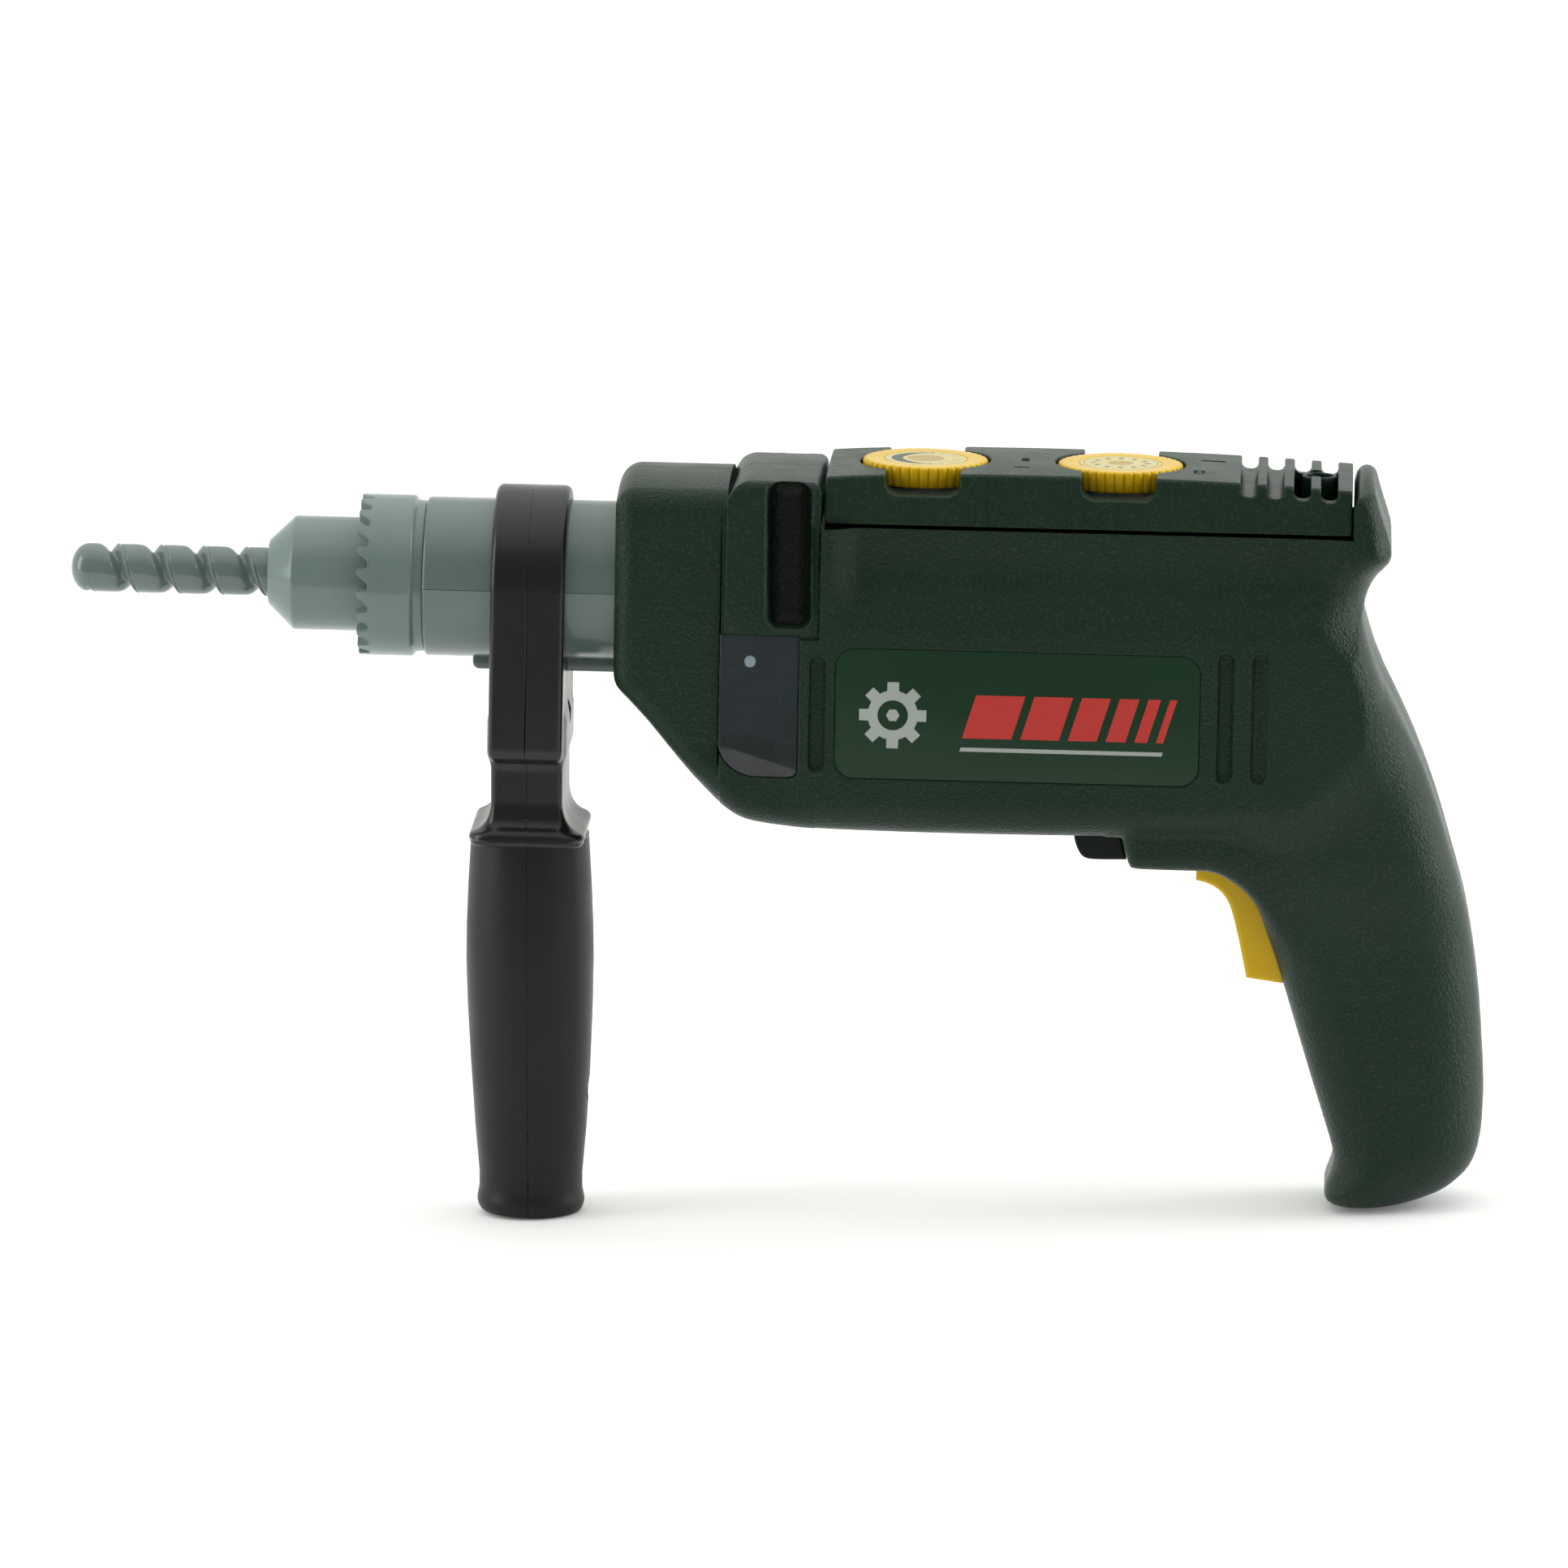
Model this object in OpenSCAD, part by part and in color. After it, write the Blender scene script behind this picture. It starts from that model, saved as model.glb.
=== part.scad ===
// Toy power drill with a removable side handle.
// Nose along -X, butt along +X, left side along -Y, up along +Z, millimetres.
// Z = 0 is the foot of the side handle.

/* [Overall] */
// Height of the chuck axis above the foot of the side handle
axis_z = 145; // [144.5:0.1:145.5]
// Wall thickness of the moulded shells
wall = 2.2; // [1.8:0.1:2.4]
// Running clearance of a shaft in its bush, on the radius
run_gap = 0.05; // [0.02:0.01:0.09]

/* [Body] */
// Half width of the main body over the labels
body_hw = 24.5; // [24:0.1:25]
// Half width of the gear section
gear_hw = 23.5; // [23:0.1:23.8]
// Half width of the nose
nose_hw = 22; // [21.6:0.1:22.4]
// Half width of the pistol grip
grip_hw = 17; // [16.5:0.1:17.5]

/* [Chuck and bit] */
// Radius of the grey collar that the side handle slides on
collar_r = 18.1; // [17.8:0.05:18.2]
// Radius of the chuck nose
nose_r = 12.8; // [12:0.1:13]
// Number of teeth on the front edge of the chuck ring
ring_teeth = 22; // [18:1:26]
// Largest radius of the drill bit
bit_r = 5.6; // [5.2:0.1:5.8]
// Lead of the spiral flute
bit_lead = 9.5; // [9:0.1:12]

/* [Gear train] */
// Gear module
gear_m = 0.8; // [0.8]
// Teeth of the motor pinion
z_pinion = 10; // [10]
// Teeth of the idler's large wheel
z_idler_big = 32; // [32]
// Teeth of the idler's small wheel
z_idler_small = 12; // [12]
// Teeth of the output gear
z_output = 40; // [40]

/* [Side handle] */
// Centre of the side handle along the drill
handle_x = -55.5; // [-55.8:0.1:-55.2]
// Width of the clamp band
clamp_w = 16.6; // [16:0.1:17]
// Thickness of the clamp band over the collar
clamp_t = 3; // [2.8:0.1:3.2]
// Sliding clearance of the clamp on the collar, on the radius
clamp_gap = 0.1; // [0.05:0.01:0.15]

/* [Dials] */
// Radius of both dials
dial_r = 14.05; // [13.8:0.05:14.1]
// Height of both dials
dial_h = 4.8; // [4.6:0.1:4.9]
// Number of scallops round each dial
dial_scallops = 40; // [36:2:44]

/* [Hidden] */
big = 400;
green = [0.12, 0.19, 0.14];
grey = [0.45, 0.5, 0.49];
black = [0.1, 0.1, 0.1];
yellow = [0.8, 0.62, 0.05];
steel = [0.7, 0.72, 0.74];
brass = [0.78, 0.62, 0.3];
white = [0.85, 0.86, 0.82];

// dial centres, cover screw and screw places in side view [x, z]
dial_x = [31.5, 75.1];
dial_z = 169.8;
cover_screw_x = 119.6;
screw_xz = [[-23, 117], [-23, 163], [44, 103], [86, 97], [123, 140], [140, 91], [146, 45], [140, 19]];
head_y = 8;
idler_z = axis_z - gear_m*(z_output + z_idler_small)/2;
motor_z = idler_z - gear_m*(z_idler_big + z_pinion)/2;
pivot = [99, 88];
cell_z = 149.4;
cell_y = 7.6;
cell_x = 50.5;

// ---- helpers ----
// side-view profile (x, z) drawn from y0 to y1
module side(y0, y1) { translate([0, y1, 0]) rotate([90, 0, 0]) linear_extrude(height = y1 - y0) children(); }
// cross-section profile (y, z) drawn from x0 to x1
module cross(x0, x1) { translate([x0, 0, 0]) rotate([90, 0, 90]) linear_extrude(height = x1 - x0) children(); }
// profile [r, x] turned round the chuck axis
module turned(z = axis_z, fn = 96) { translate([0, 0, z]) rotate([0, 90, 0]) rotate_extrude($fn = fn) children(); }
module xcyl(r, x0, x1, y = 0, z = axis_z, fn = 48) { translate([x0, y, z]) rotate([0, 90, 0]) cylinder(r = r, h = x1 - x0, $fn = fn); }
module ycyl(r, y0, y1, x, z, fn = 40) { translate([x, y1, z]) rotate([90, 0, 0]) cylinder(r = r, h = y1 - y0, $fn = fn); }
module zcyl(r, z0, z1, x, y, fn = 48) { translate([x, y, z0]) cylinder(r = r, h = z1 - z0, $fn = fn); }
module box(a, b) { translate(a) cube([b[0] - a[0], b[1] - a[1], b[2] - a[2]]); }
module rrect(x0, z0, x1, z1, r) {
  translate([x0, z0]) translate([r, r]) offset(r = r, $fn = 24) square([x1 - x0 - 2*r, z1 - z0 - 2*r]);
}

// ring of points round a tube, and a closed tube along a path of points
function unit(v) = v / norm(v);
function tangent(p, i) = unit(p[min(i + 1, len(p) - 1)] - p[max(i - 1, 0)]);
function side_of(t) = unit(cross(t, abs(t[2]) < 0.9 ? [0, 0, 1] : [1, 0, 0]));
module tube(p, r, n = 8) {
  pts = [for (i = [0:len(p) - 1]) let (t = tangent(p, i), u = side_of(t), v = cross(t, u))
    for (k = [0:n - 1]) p[i] + r*cos(360*k/n)*u + r*sin(360*k/n)*v];
  m = len(p);
  polyhedron(pts, concat(
    [[for (k = [0:n - 1]) k]],
    [for (i = [0:m - 2]) for (k = [0:n - 1]) each [
      [i*n + k, (i + 1)*n + k, (i + 1)*n + (k + 1)%n],
      [i*n + k, (i + 1)*n + (k + 1)%n, i*n + (k + 1)%n]]],
    [[for (k = [n - 1:-1:0]) (m - 1)*n + k]]));
}

// involute spur gear profile, one tooth centred on the +x direction
pa = 25;
function inv_angle(a) = tan(a)*180/PI - a;
function flank_a(z, r) = let (rb = gear_m*z/2*cos(pa)) r <= rb ? 0 : inv_angle(acos(rb/r));
function gear_points(z, add, ded, thin) = let (
    rp = gear_m*z/2, ra = rp + add, rf = rp - ded, rb = rp*cos(pa),
    r0 = max(rf, rb),
    half = 90/z + inv_angle(pa) - thin/rp*180/PI/2)
  [for (i = [0:z - 1]) let (c = 360*i/z) each concat(
    [[rf, c - half]],
    [for (k = [0:3]) let (r = r0 + (ra - r0)*k/3) [r, c - half + flank_a(z, r)]],
    [for (k = [3:-1:0]) let (r = r0 + (ra - r0)*k/3) [r, c + half - flank_a(z, r)]],
    [[rf, c + half]])];
module gear_profile(z, turn, add = 0.64, ded = 0.88, thin = 0.1) {
  polygon([for (p = gear_points(z, add, ded, thin)) [p[0]*cos(p[1] + turn), p[0]*sin(p[1] + turn)]]);
}
// gear between x0 and x1 on the axis at height z; turn is measured from +y towards +z
module spur(teeth, turn, x0, x1, z) { translate([0, 0, z]) cross(x0, x1) gear_profile(teeth, turn); }

// ---- side-view outlines of the housing ----
module nose2d() polygon([[-36.8, 127.2], [-36.8, 164], [-36.2, 167.3], [-34.7, 169.6], [-32.4, 170.8],
  [-6, 171], [-6, 94.5], [-11.4, 97.2], [-14.2, 99.9], [-19.4, 105.4], [-28.4, 116.2], [-33.4, 121.6], [-36, 124.3]]);
module front_outline() polygon([[-12.3, 98], [-9.5, 95.6], [-6, 94.3], [0.8, 93.3], [8, 92.8], [9.2, 92.7],
  [9.2, 171.8], [8.4, 172.5], [-8.4, 172.5], [-9.6, 171.8], [-12.3, 166.5]]);
module rear_outline() polygon([[8, 92.8], [22.6, 92.5], [41, 92.4], [59, 92.6], [77.4, 92.7], [79.2, 86.2],
  [80.4, 85.5], [94.8, 85.3], [99.1, 84.6], [103.8, 81.9], [106.6, 79.2], [108.8, 75.1], [110.9, 68.7], [114.2, 59.7],
  [116.5, 50.3], [120.3, 39.2], [124, 28.1], [125.8, 22.5], [126.5, 19.7], [126.2, 16.9], [125.5, 14],
  [124.7, 11.2], [125.5, 8.6], [128.2, 7.4], [133.7, 7.2], [141, 8], [146.5, 9.5], [151.4, 11.6],
  [155, 14.4], [157.3, 17.1], [158.8, 20.5], [159.7, 25.6], [160, 31.2], [160, 36.8], [159.4, 45.2],
  [158.4, 56.4], [156.8, 67.5], [154.5, 78.6], [151.2, 89.7], [147.7, 100.7], [143.4, 111.8],
  [138.3, 122.7], [135.5, 128.2], [133, 133.7], [131.2, 139.2], [130.2, 143.3], [130.6, 147.5],
  [131.6, 150.3], [133.2, 153.1], [135.6, 155.9], [136.1, 158.7], [135.3, 161.4], [133.7, 166.9],
  [132.1, 172.4], [130.6, 174.2], [128.4, 174.4], [127.9, 173], [127.9, 162.3], [8, 162.3]]);
module main2d() { union() { front_outline(); rear_outline(); } }
module wide_clip() polygon([[-20, 60], [82, 60], [100, 84], [118, 95], [140, 101], [180, 108], [180, 190], [-20, 190]]);
module mid_clip() polygon([[-20, 60], [88, 60], [104, 74], [124, 84], [180, 96], [180, 190], [-20, 190]]);
module inner_clip() polygon([[-20, 60], [90, 60], [100, 88], [122, 98], [180, 106], [180, 190], [-20, 190]]);
// long shallow hollow under the cover line, on the side s
module scoop(s, grow = 0) {
  cross(12 - grow, 125.5 + grow) polygon([for (p = [[30, 139.5 - grow], [body_hw - grow, 139.5 - grow],
    [21.8 - grow, 143], [20.3 - grow, 148], [20 - grow, 154], [21 - grow, 162.5 + grow], [30, 162.5 + grow]]) [s*p[0], p[1]]]);
}
module outer_half() {
  // grip and everything near the middle, edges stepped back
  side(0, 9) main2d();
  side(8.9, 13) offset(delta = -1.2) main2d();
  side(12.9, 15.5) offset(delta = -3.2) main2d();
  side(15.4, grip_hw) offset(delta = -6) main2d();
  // shoulder between grip and body
  side(0, 18) offset(delta = -1) intersection() { main2d(); mid_clip(); }
  side(17.9, 20.5) offset(delta = -3) intersection() { main2d(); mid_clip(); }
  // body and gear section
  side(0, 19) intersection() { main2d(); wide_clip(); }
  side(18.9, 21.6) offset(delta = -1) intersection() { main2d(); wide_clip(); }
  side(21.5, gear_hw) offset(delta = -2.4) intersection() { main2d(); wide_clip(); }
  side(gear_hw - 0.1, body_hw) offset(delta = -3.8) intersection() { main2d(); wide_clip(); translate([8, 0]) square([200, 200]); }
  side(0, 21) translate([9, 150]) square([118.9, 12.3]);
  // nose
  side(0, 19) nose2d();
  side(18.9, 21) offset(delta = -0.9) nose2d();
  side(20.9, nose_hw) offset(delta = -2) nose2d();
}
module inner_half() {
  difference() {
    union() {
      side(-0.1, 7) offset(delta = -wall) main2d();
      side(6.9, 11) offset(delta = -wall - 1.2) main2d();
      side(10.9, 13.4) offset(delta = -wall - 3.2) main2d();
      side(0, 17.4) offset(delta = -wall) intersection() { main2d(); inner_clip(); }
      side(17.3, 19.4) offset(delta = -wall - 1.2) intersection() { main2d(); wide_clip(); }
      side(19.3, 21.2) offset(delta = -wall - 2.6) intersection() { main2d(); wide_clip(); }
      side(21.1, body_hw - wall) offset(delta = -wall - 4) intersection() { main2d(); wide_clip(); translate([8, 0]) square([200, 200]); }
      side(0, 17) offset(delta = -wall) nose2d();
      side(16.9, nose_hw - wall) offset(delta = -wall - 0.9) nose2d();
    }
    scoop(1, wall);
  }
}
// right half, y >= 0, before openings
module shell_half(bosses = true, seat = false) {
  difference() {
    union() {
      difference() { outer_half(); inner_half(); }
      // screw bosses and the collar's retaining rib
      intersection() {
        outer_half();
        union() {
          for (s = screw_xz) {
            ycyl(3.6, 0, 30, s[0], s[1]);
            if (seat) ycyl(4.8, head_y - 2, 30, s[0], s[1]);
          }
          difference() { box([-31.6, 0, 108], [-29.8, 21, 170]); xcyl(16, -40, -20); }
          // post for the trigger pin
          ycyl(3.6, 6.7, 30, pivot[0], pivot[1]);
          // rest for the battery tray
          box([45, 13, 137.8], [108, 24, 139.6]);
        }
      }
    }
    scoop(1);
    // opening for the collar
    xcyl(collar_r, -40, -33);
    // grooves: one deep upright groove in the gear section, a short one, and two behind the label
    side(gear_hw - 1.2, 30) rrect(-2.6, 139.6, 6.9, 170.8, 2.4);
    side(gear_hw - 1.2, 30) rrect(7.2, 107, 11, 133.2, 1.8);
    side(body_hw - 1.2, 30) rrect(97.9, 106.6, 101.8, 136.3, 1.8);
    side(body_hw - 1.2, 30) rrect(105.8, 106.6, 109.7, 136.3, 1.8);
    // label recess
    side(body_hw - 0.4, 30) rrect(13, 105.8, 94.4, 135.4, 4.5);
    // trigger slot
    side(-1, 6.4) polygon([[94.5, 79], [94.5, 92.2], [112, 92.2], [126, 62], [118, 57.9], [105, 58.3]]);
    // seat of the trigger pin
    ycyl(1.5, -1, 9, pivot[0], pivot[1]);
    // slot for the direction switch
    side(-1, 5.9) translate([70.2, 90]) square([5.6, 6]);
    // front hook pockets of the cover
    box([6, 8, 164.6], [12, 14.2, 167.4]);
    // cover screw, between the halves
    zcyl(1.2, 140, 170, cover_screw_x, 0);
  }
}
module cover_boss() { intersection() { outer_half(); zcyl(4, 148, 162.3, cover_screw_x, 0); } }

module left_housing() {
  color(green) difference() {
    mirror([0, 1, 0]) union() { shell_half();
      difference() { cover_boss(); zcyl(1.2, 140, 170, cover_screw_x, 0); } }
    for (s = screw_xz) ycyl(1.25, -11, 1, s[0], s[1]);
    side(-30, -gear_hw + 1.7) window2d(0);
    side(-30, -15) window2d(1.4);
  }
}
module right_housing() {
  color(green) difference() {
    union() { shell_half(seat = true);
      difference() { cover_boss(); zcyl(1.2, 140, 170, cover_screw_x, 0); } }
    for (s = screw_xz) { ycyl(1.7, -1, 30, s[0], s[1]); ycyl(3.2, head_y, 40, s[0], s[1]); }
    // sound slits in the two upright grooves
    for (x = [98.9, 106.7]) box([x, 15, 110], [x + 2, 30, 132]);
  }
}
module housing_screws() {
  color(steel) for (s = screw_xz) {
    difference() {
      union() { ycyl(2.9, head_y, head_y + 1.9, s[0], s[1]); ycyl(1.25, -9, head_y + 0.1, s[0], s[1]); }
      box([s[0] - 0.4, head_y + 1.1, s[1] - 1.8], [s[0] + 0.4, head_y + 3, s[1] + 1.8]);
      box([s[0] - 1.8, head_y + 1.1, s[1] - 0.4], [s[0] + 1.8, head_y + 3, s[1] + 0.4]);
    }
  }
}

// ---- cover ----
module cover_deck2d() polygon([[9.7, 162.6], [127.1, 162.6], [127.1, 172.3], [126, 172.9], [113, 173.6], [100, 174.1],
  [86, 174.5], [64, 174.6], [42, 174.5], [24, 174.1], [12.2, 173.4], [10.7, 172.9], [9.7, 171.6]]);
module cover_section(hw, top, grow = 0) polygon(concat([[-hw, 162.6 - 3*grow], [-hw + 1.6, top - 1.0 - grow]],
  [for (a = [-16:4:16]) [a*(hw - 2.4)/16.5, top - grow - 0.4*pow(a/17.5, 2)]],
  [[hw - 1.6, top - 1.0 - grow], [hw, 162.6 - 3*grow]]));
module top_cover() {
  color(green) difference() {
    union() {
      difference() {
        intersection() { side(-25, 25) cover_deck2d(); cross(9, 128) cover_section(21, 174.6); }
        intersection() {
          side(-25, 25) offset(delta = -2) translate([0, 0]) union() { cover_deck2d(); translate([9.7, 150]) square([117.4, 14]); }
          cross(11.5, 125.3) cover_section(19, 172.6, 1);
        }
      }
      // dial pockets, with a pivot post in each
      for (x = dial_x) intersection() {
        zcyl(16.4, 165.6, 175, x, 0, 64);
        side(-25, 25) cover_deck2d();
        cross(9, 128) cover_section(21, 174.6);
      }
      // screw boss
      intersection() { zcyl(4.4, 162.8, 177, cover_screw_x, 0); side(-25, 25) cover_deck2d(); }
      // front hooks
      for (s = [-1, 1]) box([7, s*11 - 2.6, 165], [12, s*11 + 2.6, 167]);
    }
    for (x = dial_x) difference() {
      union() {
        zcyl(dial_r + 0.55, 169.2, 190, x, 0, 96);
        // finger notches through both sides
        side(-30, 30) union() { rrect(x - 8.3, 169.2, x + 8.3, 176, 3); translate([x - 8.3, 173]) square([16.6, 8]); }
      }
      zcyl(2.5, 160, 173, x, 0);
    }
    // louvre notches across the top
    side(-30, 30) for (x = [103.9, 109.8]) rrect(x - 1.8, 171.9, x + 1.8, 180, 1.2);
    for (s = [-1, 1]) for (x = [103.9, 109.8]) side(s > 0 ? 14 : -30, s > 0 ? 30 : -14) rrect(x - 1.8, 169.4, x + 1.8, 180, 1.2);
    for (s = [-1, 1]) for (x = [115.9, 122]) side(s > 0 ? 5.2 : -30, s > 0 ? 30 : -5.2) rrect(x - 1.8, 169.4, x + 1.8, 180, 1.2);
    side(-6, 6) for (x = [115.9, 122]) rrect(x - 1.8, 171.3, x + 1.8, 180, 1.2);
    zcyl(1.5, 150, 180, cover_screw_x, 0);
    zcyl(3, 168.6, 180, cover_screw_x, 0);
  }
}
module cover_screw() {
  color(steel) difference() {
    union() { zcyl(2.8, 168.6, 170.4, cover_screw_x, 0); zcyl(1.2, 150, 168.7, cover_screw_x, 0); }
    box([cover_screw_x - 0.4, -1.8, 169.6], [cover_screw_x + 0.4, 1.8, 172]);
    box([cover_screw_x - 1.8, -0.4, 169.6], [cover_screw_x + 1.8, 0.4, 172]);
  }
}
module dial(x) {
  color(yellow) difference() {
    translate([x, 0, dial_z]) linear_extrude(height = dial_h) polygon([for (i = [0:dial_scallops*4 - 1])
      let (a = 360*i/(dial_scallops*4), r = dial_r - 0.5 + 0.5*abs(cos(180*i/4))) [r*cos(a), r*sin(a)]]);
    zcyl(2.5 + run_gap, dial_z - 1, 173.4, x, 0);
    zcyl(9.4, dial_z + dial_h - 0.25, 190, x, 0, 64);
  }
}
module front_dial() { dial(dial_x[0]); }
module rear_dial() { dial(dial_x[1]); }
module front_dial_sticker() { color(white) zcyl(9.2, dial_z + dial_h - 0.25, dial_z + dial_h - 0.05, dial_x[0], 0, 64); }
module rear_dial_sticker() { color(white) zcyl(9.2, dial_z + dial_h - 0.25, dial_z + dial_h - 0.05, dial_x[1], 0, 64); }

// ---- window, lamp, labels ----
module window2d(inset) offset(delta = -inset) polygon(concat([[-12.2, 137.6], [-12.2, 113]],
  [for (a = [10:20:90]) [-4.2 - 8*cos(a), 113 - 7.6*sin(a)]],
  [[3, 105.4], [4.9, 107.2], [4.9, 137.6]]));
module gear_window() { color([0.15, 0.2, 0.23]) side(-gear_hw, -gear_hw + 1.6) offset(delta = -0.1) window2d(0); }
module lamp() { color(white) union() {
  ycyl(1.2, -19.6, -14.7, -6.1, 130.6); ycyl(1.7, -15.6, -14.7, -6.1, 130.6);
  translate([-6.1, -19.6, 130.6]) sphere(r = 1.2, $fn = 24); } }
module left_label() { color([0.1, 0.24, 0.14]) side(-body_hw + 0.1, -body_hw + 0.4) rrect(13.2, 106, 94.2, 135.2, 4.3); }
module right_label() { color([0.1, 0.24, 0.14]) side(body_hw - 0.4, body_hw - 0.1) rrect(13.2, 106, 94.2, 135.2, 4.3); }

// ---- collar and chuck ----
module collar() {
  difference() {
    union() {
      turned() polygon([[6, -80], [collar_r - 0.5, -80], [collar_r, -79.5], [collar_r, -33.6], [18.9, -33.6], [18.9, -32],
        [collar_r - 2, -32], [collar_r - 2, -77.5], [6, -77.5]]);
      // guide rib that keys the side handle
      box([-69.3, -2.4, axis_z - 20.6], [-37.1, 2.4, axis_z - 17.6]);
    }
  }
}
module collar_upper() { color(grey) intersection() { collar(); box([-90, -30, axis_z], [-20, 30, axis_z + 30]); } }
module collar_lower() { color(grey) intersection() { collar(); box([-90, -30, axis_z - 30], [-20, 30, axis_z]); } }
module chuck_ring() {
  color(grey) union() {
    turned() polygon([[3, -92.2], [15.6, -92.2], [collar_r, -92.2], [collar_r, -83], [17, -82.4], [17, -81.2], [15.2, -81.2],
      [15.2, -89.7], [6.4, -89.7], [6.4, -81.2], [3, -81.2]]);
    for (i = [0:ring_teeth - 1]) translate([0, 0, axis_z]) rotate([i*360/ring_teeth, 0, 0])
      translate([0, 0, 15.4]) linear_extrude(height = 2.6)
        polygon([[-91.9, -1.7], [-94.6, -1.6], [-94.2, -0.6], [-92.2, 1.7], [-91.9, 1.7]]);
  }
}
module chuck_nose() {
  color(grey) turned() polygon([[4.5, -115.4], [6.6, -115.4], [7.4, -114.8], [12.3, -110.1], [nose_r, -109.1], [nose_r, -92.4],
    [10.8, -92.4], [10.8, -108.2], [6.2, -108.2], [6.2, -92.4], [3, -92.4], [3, -101], [4.5, -101]]);
}
// bit: one spiral flute cut by radius, round tip; rings of 14 points
function tip(t) = t < 5 ? sqrt(1 - pow((5 - t)/5.001, 2)) : 1;
function flute(d) = 1.45*exp(-pow((d > 180 ? 360 - d : d)/62, 2));
module drill_bit() {
  n = 16; m = 58; x0 = -160; len = 44.4;
  f = function (i, k) let (t = len*i/m + 0.05, a = 360*k/n,
      d = ((a - 360*t/bit_lead) % 360 + 720) % 360,
      r = bit_r*tip(t) - (t > 4 ? flute(d)*min(1, (t - 4)/4) : 0)) [x0 + t, r*cos(a), axis_z + r*sin(a)];
  color(grey) union() {
    polyhedron([for (i = [0:m]) for (k = [0:n - 1]) f(i, k)], concat(
      [[for (k = [0:n - 1]) k]],
      [for (i = [0:m - 1]) for (k = [0:n - 1]) each [
        [i*n + k, (i + 1)*n + k, (i + 1)*n + (k + 1)%n],
        [i*n + k, (i + 1)*n + (k + 1)%n, i*n + (k + 1)%n]]],
      [[for (k = [n - 1:-1:0]) m*n + k]]));
    xcyl(3.9, -117, -115.4);
    xcyl(4.5, -115.5, -101.2);
  }
}
module spindle_shaft() { color(steel) xcyl(3, -101, 9.5); }
module front_bush() { color(brass) turned() polygon([[3 + run_gap, -80.9], [7.2, -80.9], [7.2, -80.1], [6, -80.1], [6, -74], [3 + run_gap, -74]]); }
module rear_bush() { color(brass) turned() polygon([[3 + run_gap, 4.7], [6.4, 4.7], [6.4, 5.1], [5, 5.1], [5, 8.6], [3 + run_gap, 8.6]]); }

// ---- gear train ----
// tooth of the driver points along the line of centres, the driven gear shows a gap there
module output_gear() {
  color(white) difference() {
    union() { spur(z_output, -90, -8.6, -3.6, axis_z); xcyl(5.4, -12.4, 4.4); }
    xcyl(3, -20, 10);
    for (a = [0:60:300]) xcyl(2.8, -10, 0, 10.2*cos(a), axis_z + 10.2*sin(a), 32);
  }
}
module idler_gear() {
  color(white) difference() {
    union() {
      spur(z_idler_small, 90 + 180/z_idler_small, -9, -0.9, idler_z);
      spur(z_idler_big, -90, -1, 3.6, idler_z);
      xcyl(2.8, -12.6, 4.9, 0, idler_z);
    }
    xcyl(1.25 + run_gap, -20, 10, 0, idler_z);
  }
}
module idler_axle() { color(steel) xcyl(1.25, -15, 7.2, 0, idler_z); }
module motor_pinion() {
  color(brass) difference() {
    spur(z_pinion, 90 + 180/z_pinion, -1.6, 4.2, motor_z);
    xcyl(1, -5, 8, 0, motor_z);
  }
}
module motor_shaft() { color(steel) xcyl(1, -2.4, 34.6, 0, motor_z); }
module motor_armature() {
  color([0.7, 0.35, 0.15]) difference() {
    union() { for (a = [30, 150, 270]) translate([0, 0, motor_z]) rotate([a, 0, 0]) box([12, -1.8, 0], [26, 1.8, 4.6]);
      for (a = [30, 150, 270]) translate([0, 0, motor_z]) rotate([a, 0, 0]) intersection() { box([13, -4.2, 3.4], [25, 4.2, 6]); translate([10, 0, 0]) rotate([0, 90, 0]) cylinder(r = 5.6, h = 20, $fn = 48); }
      xcyl(2.4, 9.6, 30, 0, motor_z); }
    xcyl(1, 0, 40, 0, motor_z);
  }
}
module motor_magnets() {
  color([0.25, 0.25, 0.27]) for (s = [-1, 1]) intersection() {
    difference() { xcyl(9.1, 10, 28, 0, motor_z, 64); xcyl(6.1, 0, 40, 0, motor_z, 64); }
    box([0, -6.6, s > 0 ? motor_z + 2.5 : motor_z - 12], [40, 6.6, s > 0 ? motor_z + 12 : motor_z - 2.5]);
  }
}
module motor_can() {
  color(steel) difference() {
    union() {
      intersection() { xcyl(10, 7.4, 31, 0, motor_z, 64); box([0, -7.6, motor_z - 12], [40, 7.6, motor_z + 12]); }
      xcyl(3, 5.6, 8, 0, motor_z);
    }
    intersection() { xcyl(9.2, 8.2, 32, 0, motor_z, 64); box([0, -6.8, motor_z - 12], [40, 6.8, motor_z + 12]); }
    xcyl(1 + run_gap, 0, 20, 0, motor_z);
  }
}
module motor_end_cap() {
  color(white) difference() {
    intersection() { xcyl(10, 31, 34, 0, motor_z, 64); box([0, -7.6, motor_z - 12], [40, 7.6, motor_z + 12]); }
    xcyl(1 + run_gap, 20, 40, 0, motor_z);
  }
}
post_yz = [[-15.4, 157.2], [15.4, 157.2], [-15, 114], [15, 114]];
module gearbox_front_plate() {
  color([0.25, 0.25, 0.25]) difference() {
    union() {
      cross(-15, -13) rrect(-18, 110.5, 18, 159.5, 3);
      for (p = post_yz) xcyl(1.9, -13.1, 5.1, p[0], p[1]);
      box([-13.1, -14.6, 127.6], [-3, -13.1, 133.6]);
    }
    xcyl(3.8, -20, 0);
    xcyl(1.25, -20, 0, 0, idler_z);
    for (p = post_yz) xcyl(1.1, -4, 6, p[0], p[1], 32);
  }
}
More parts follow.
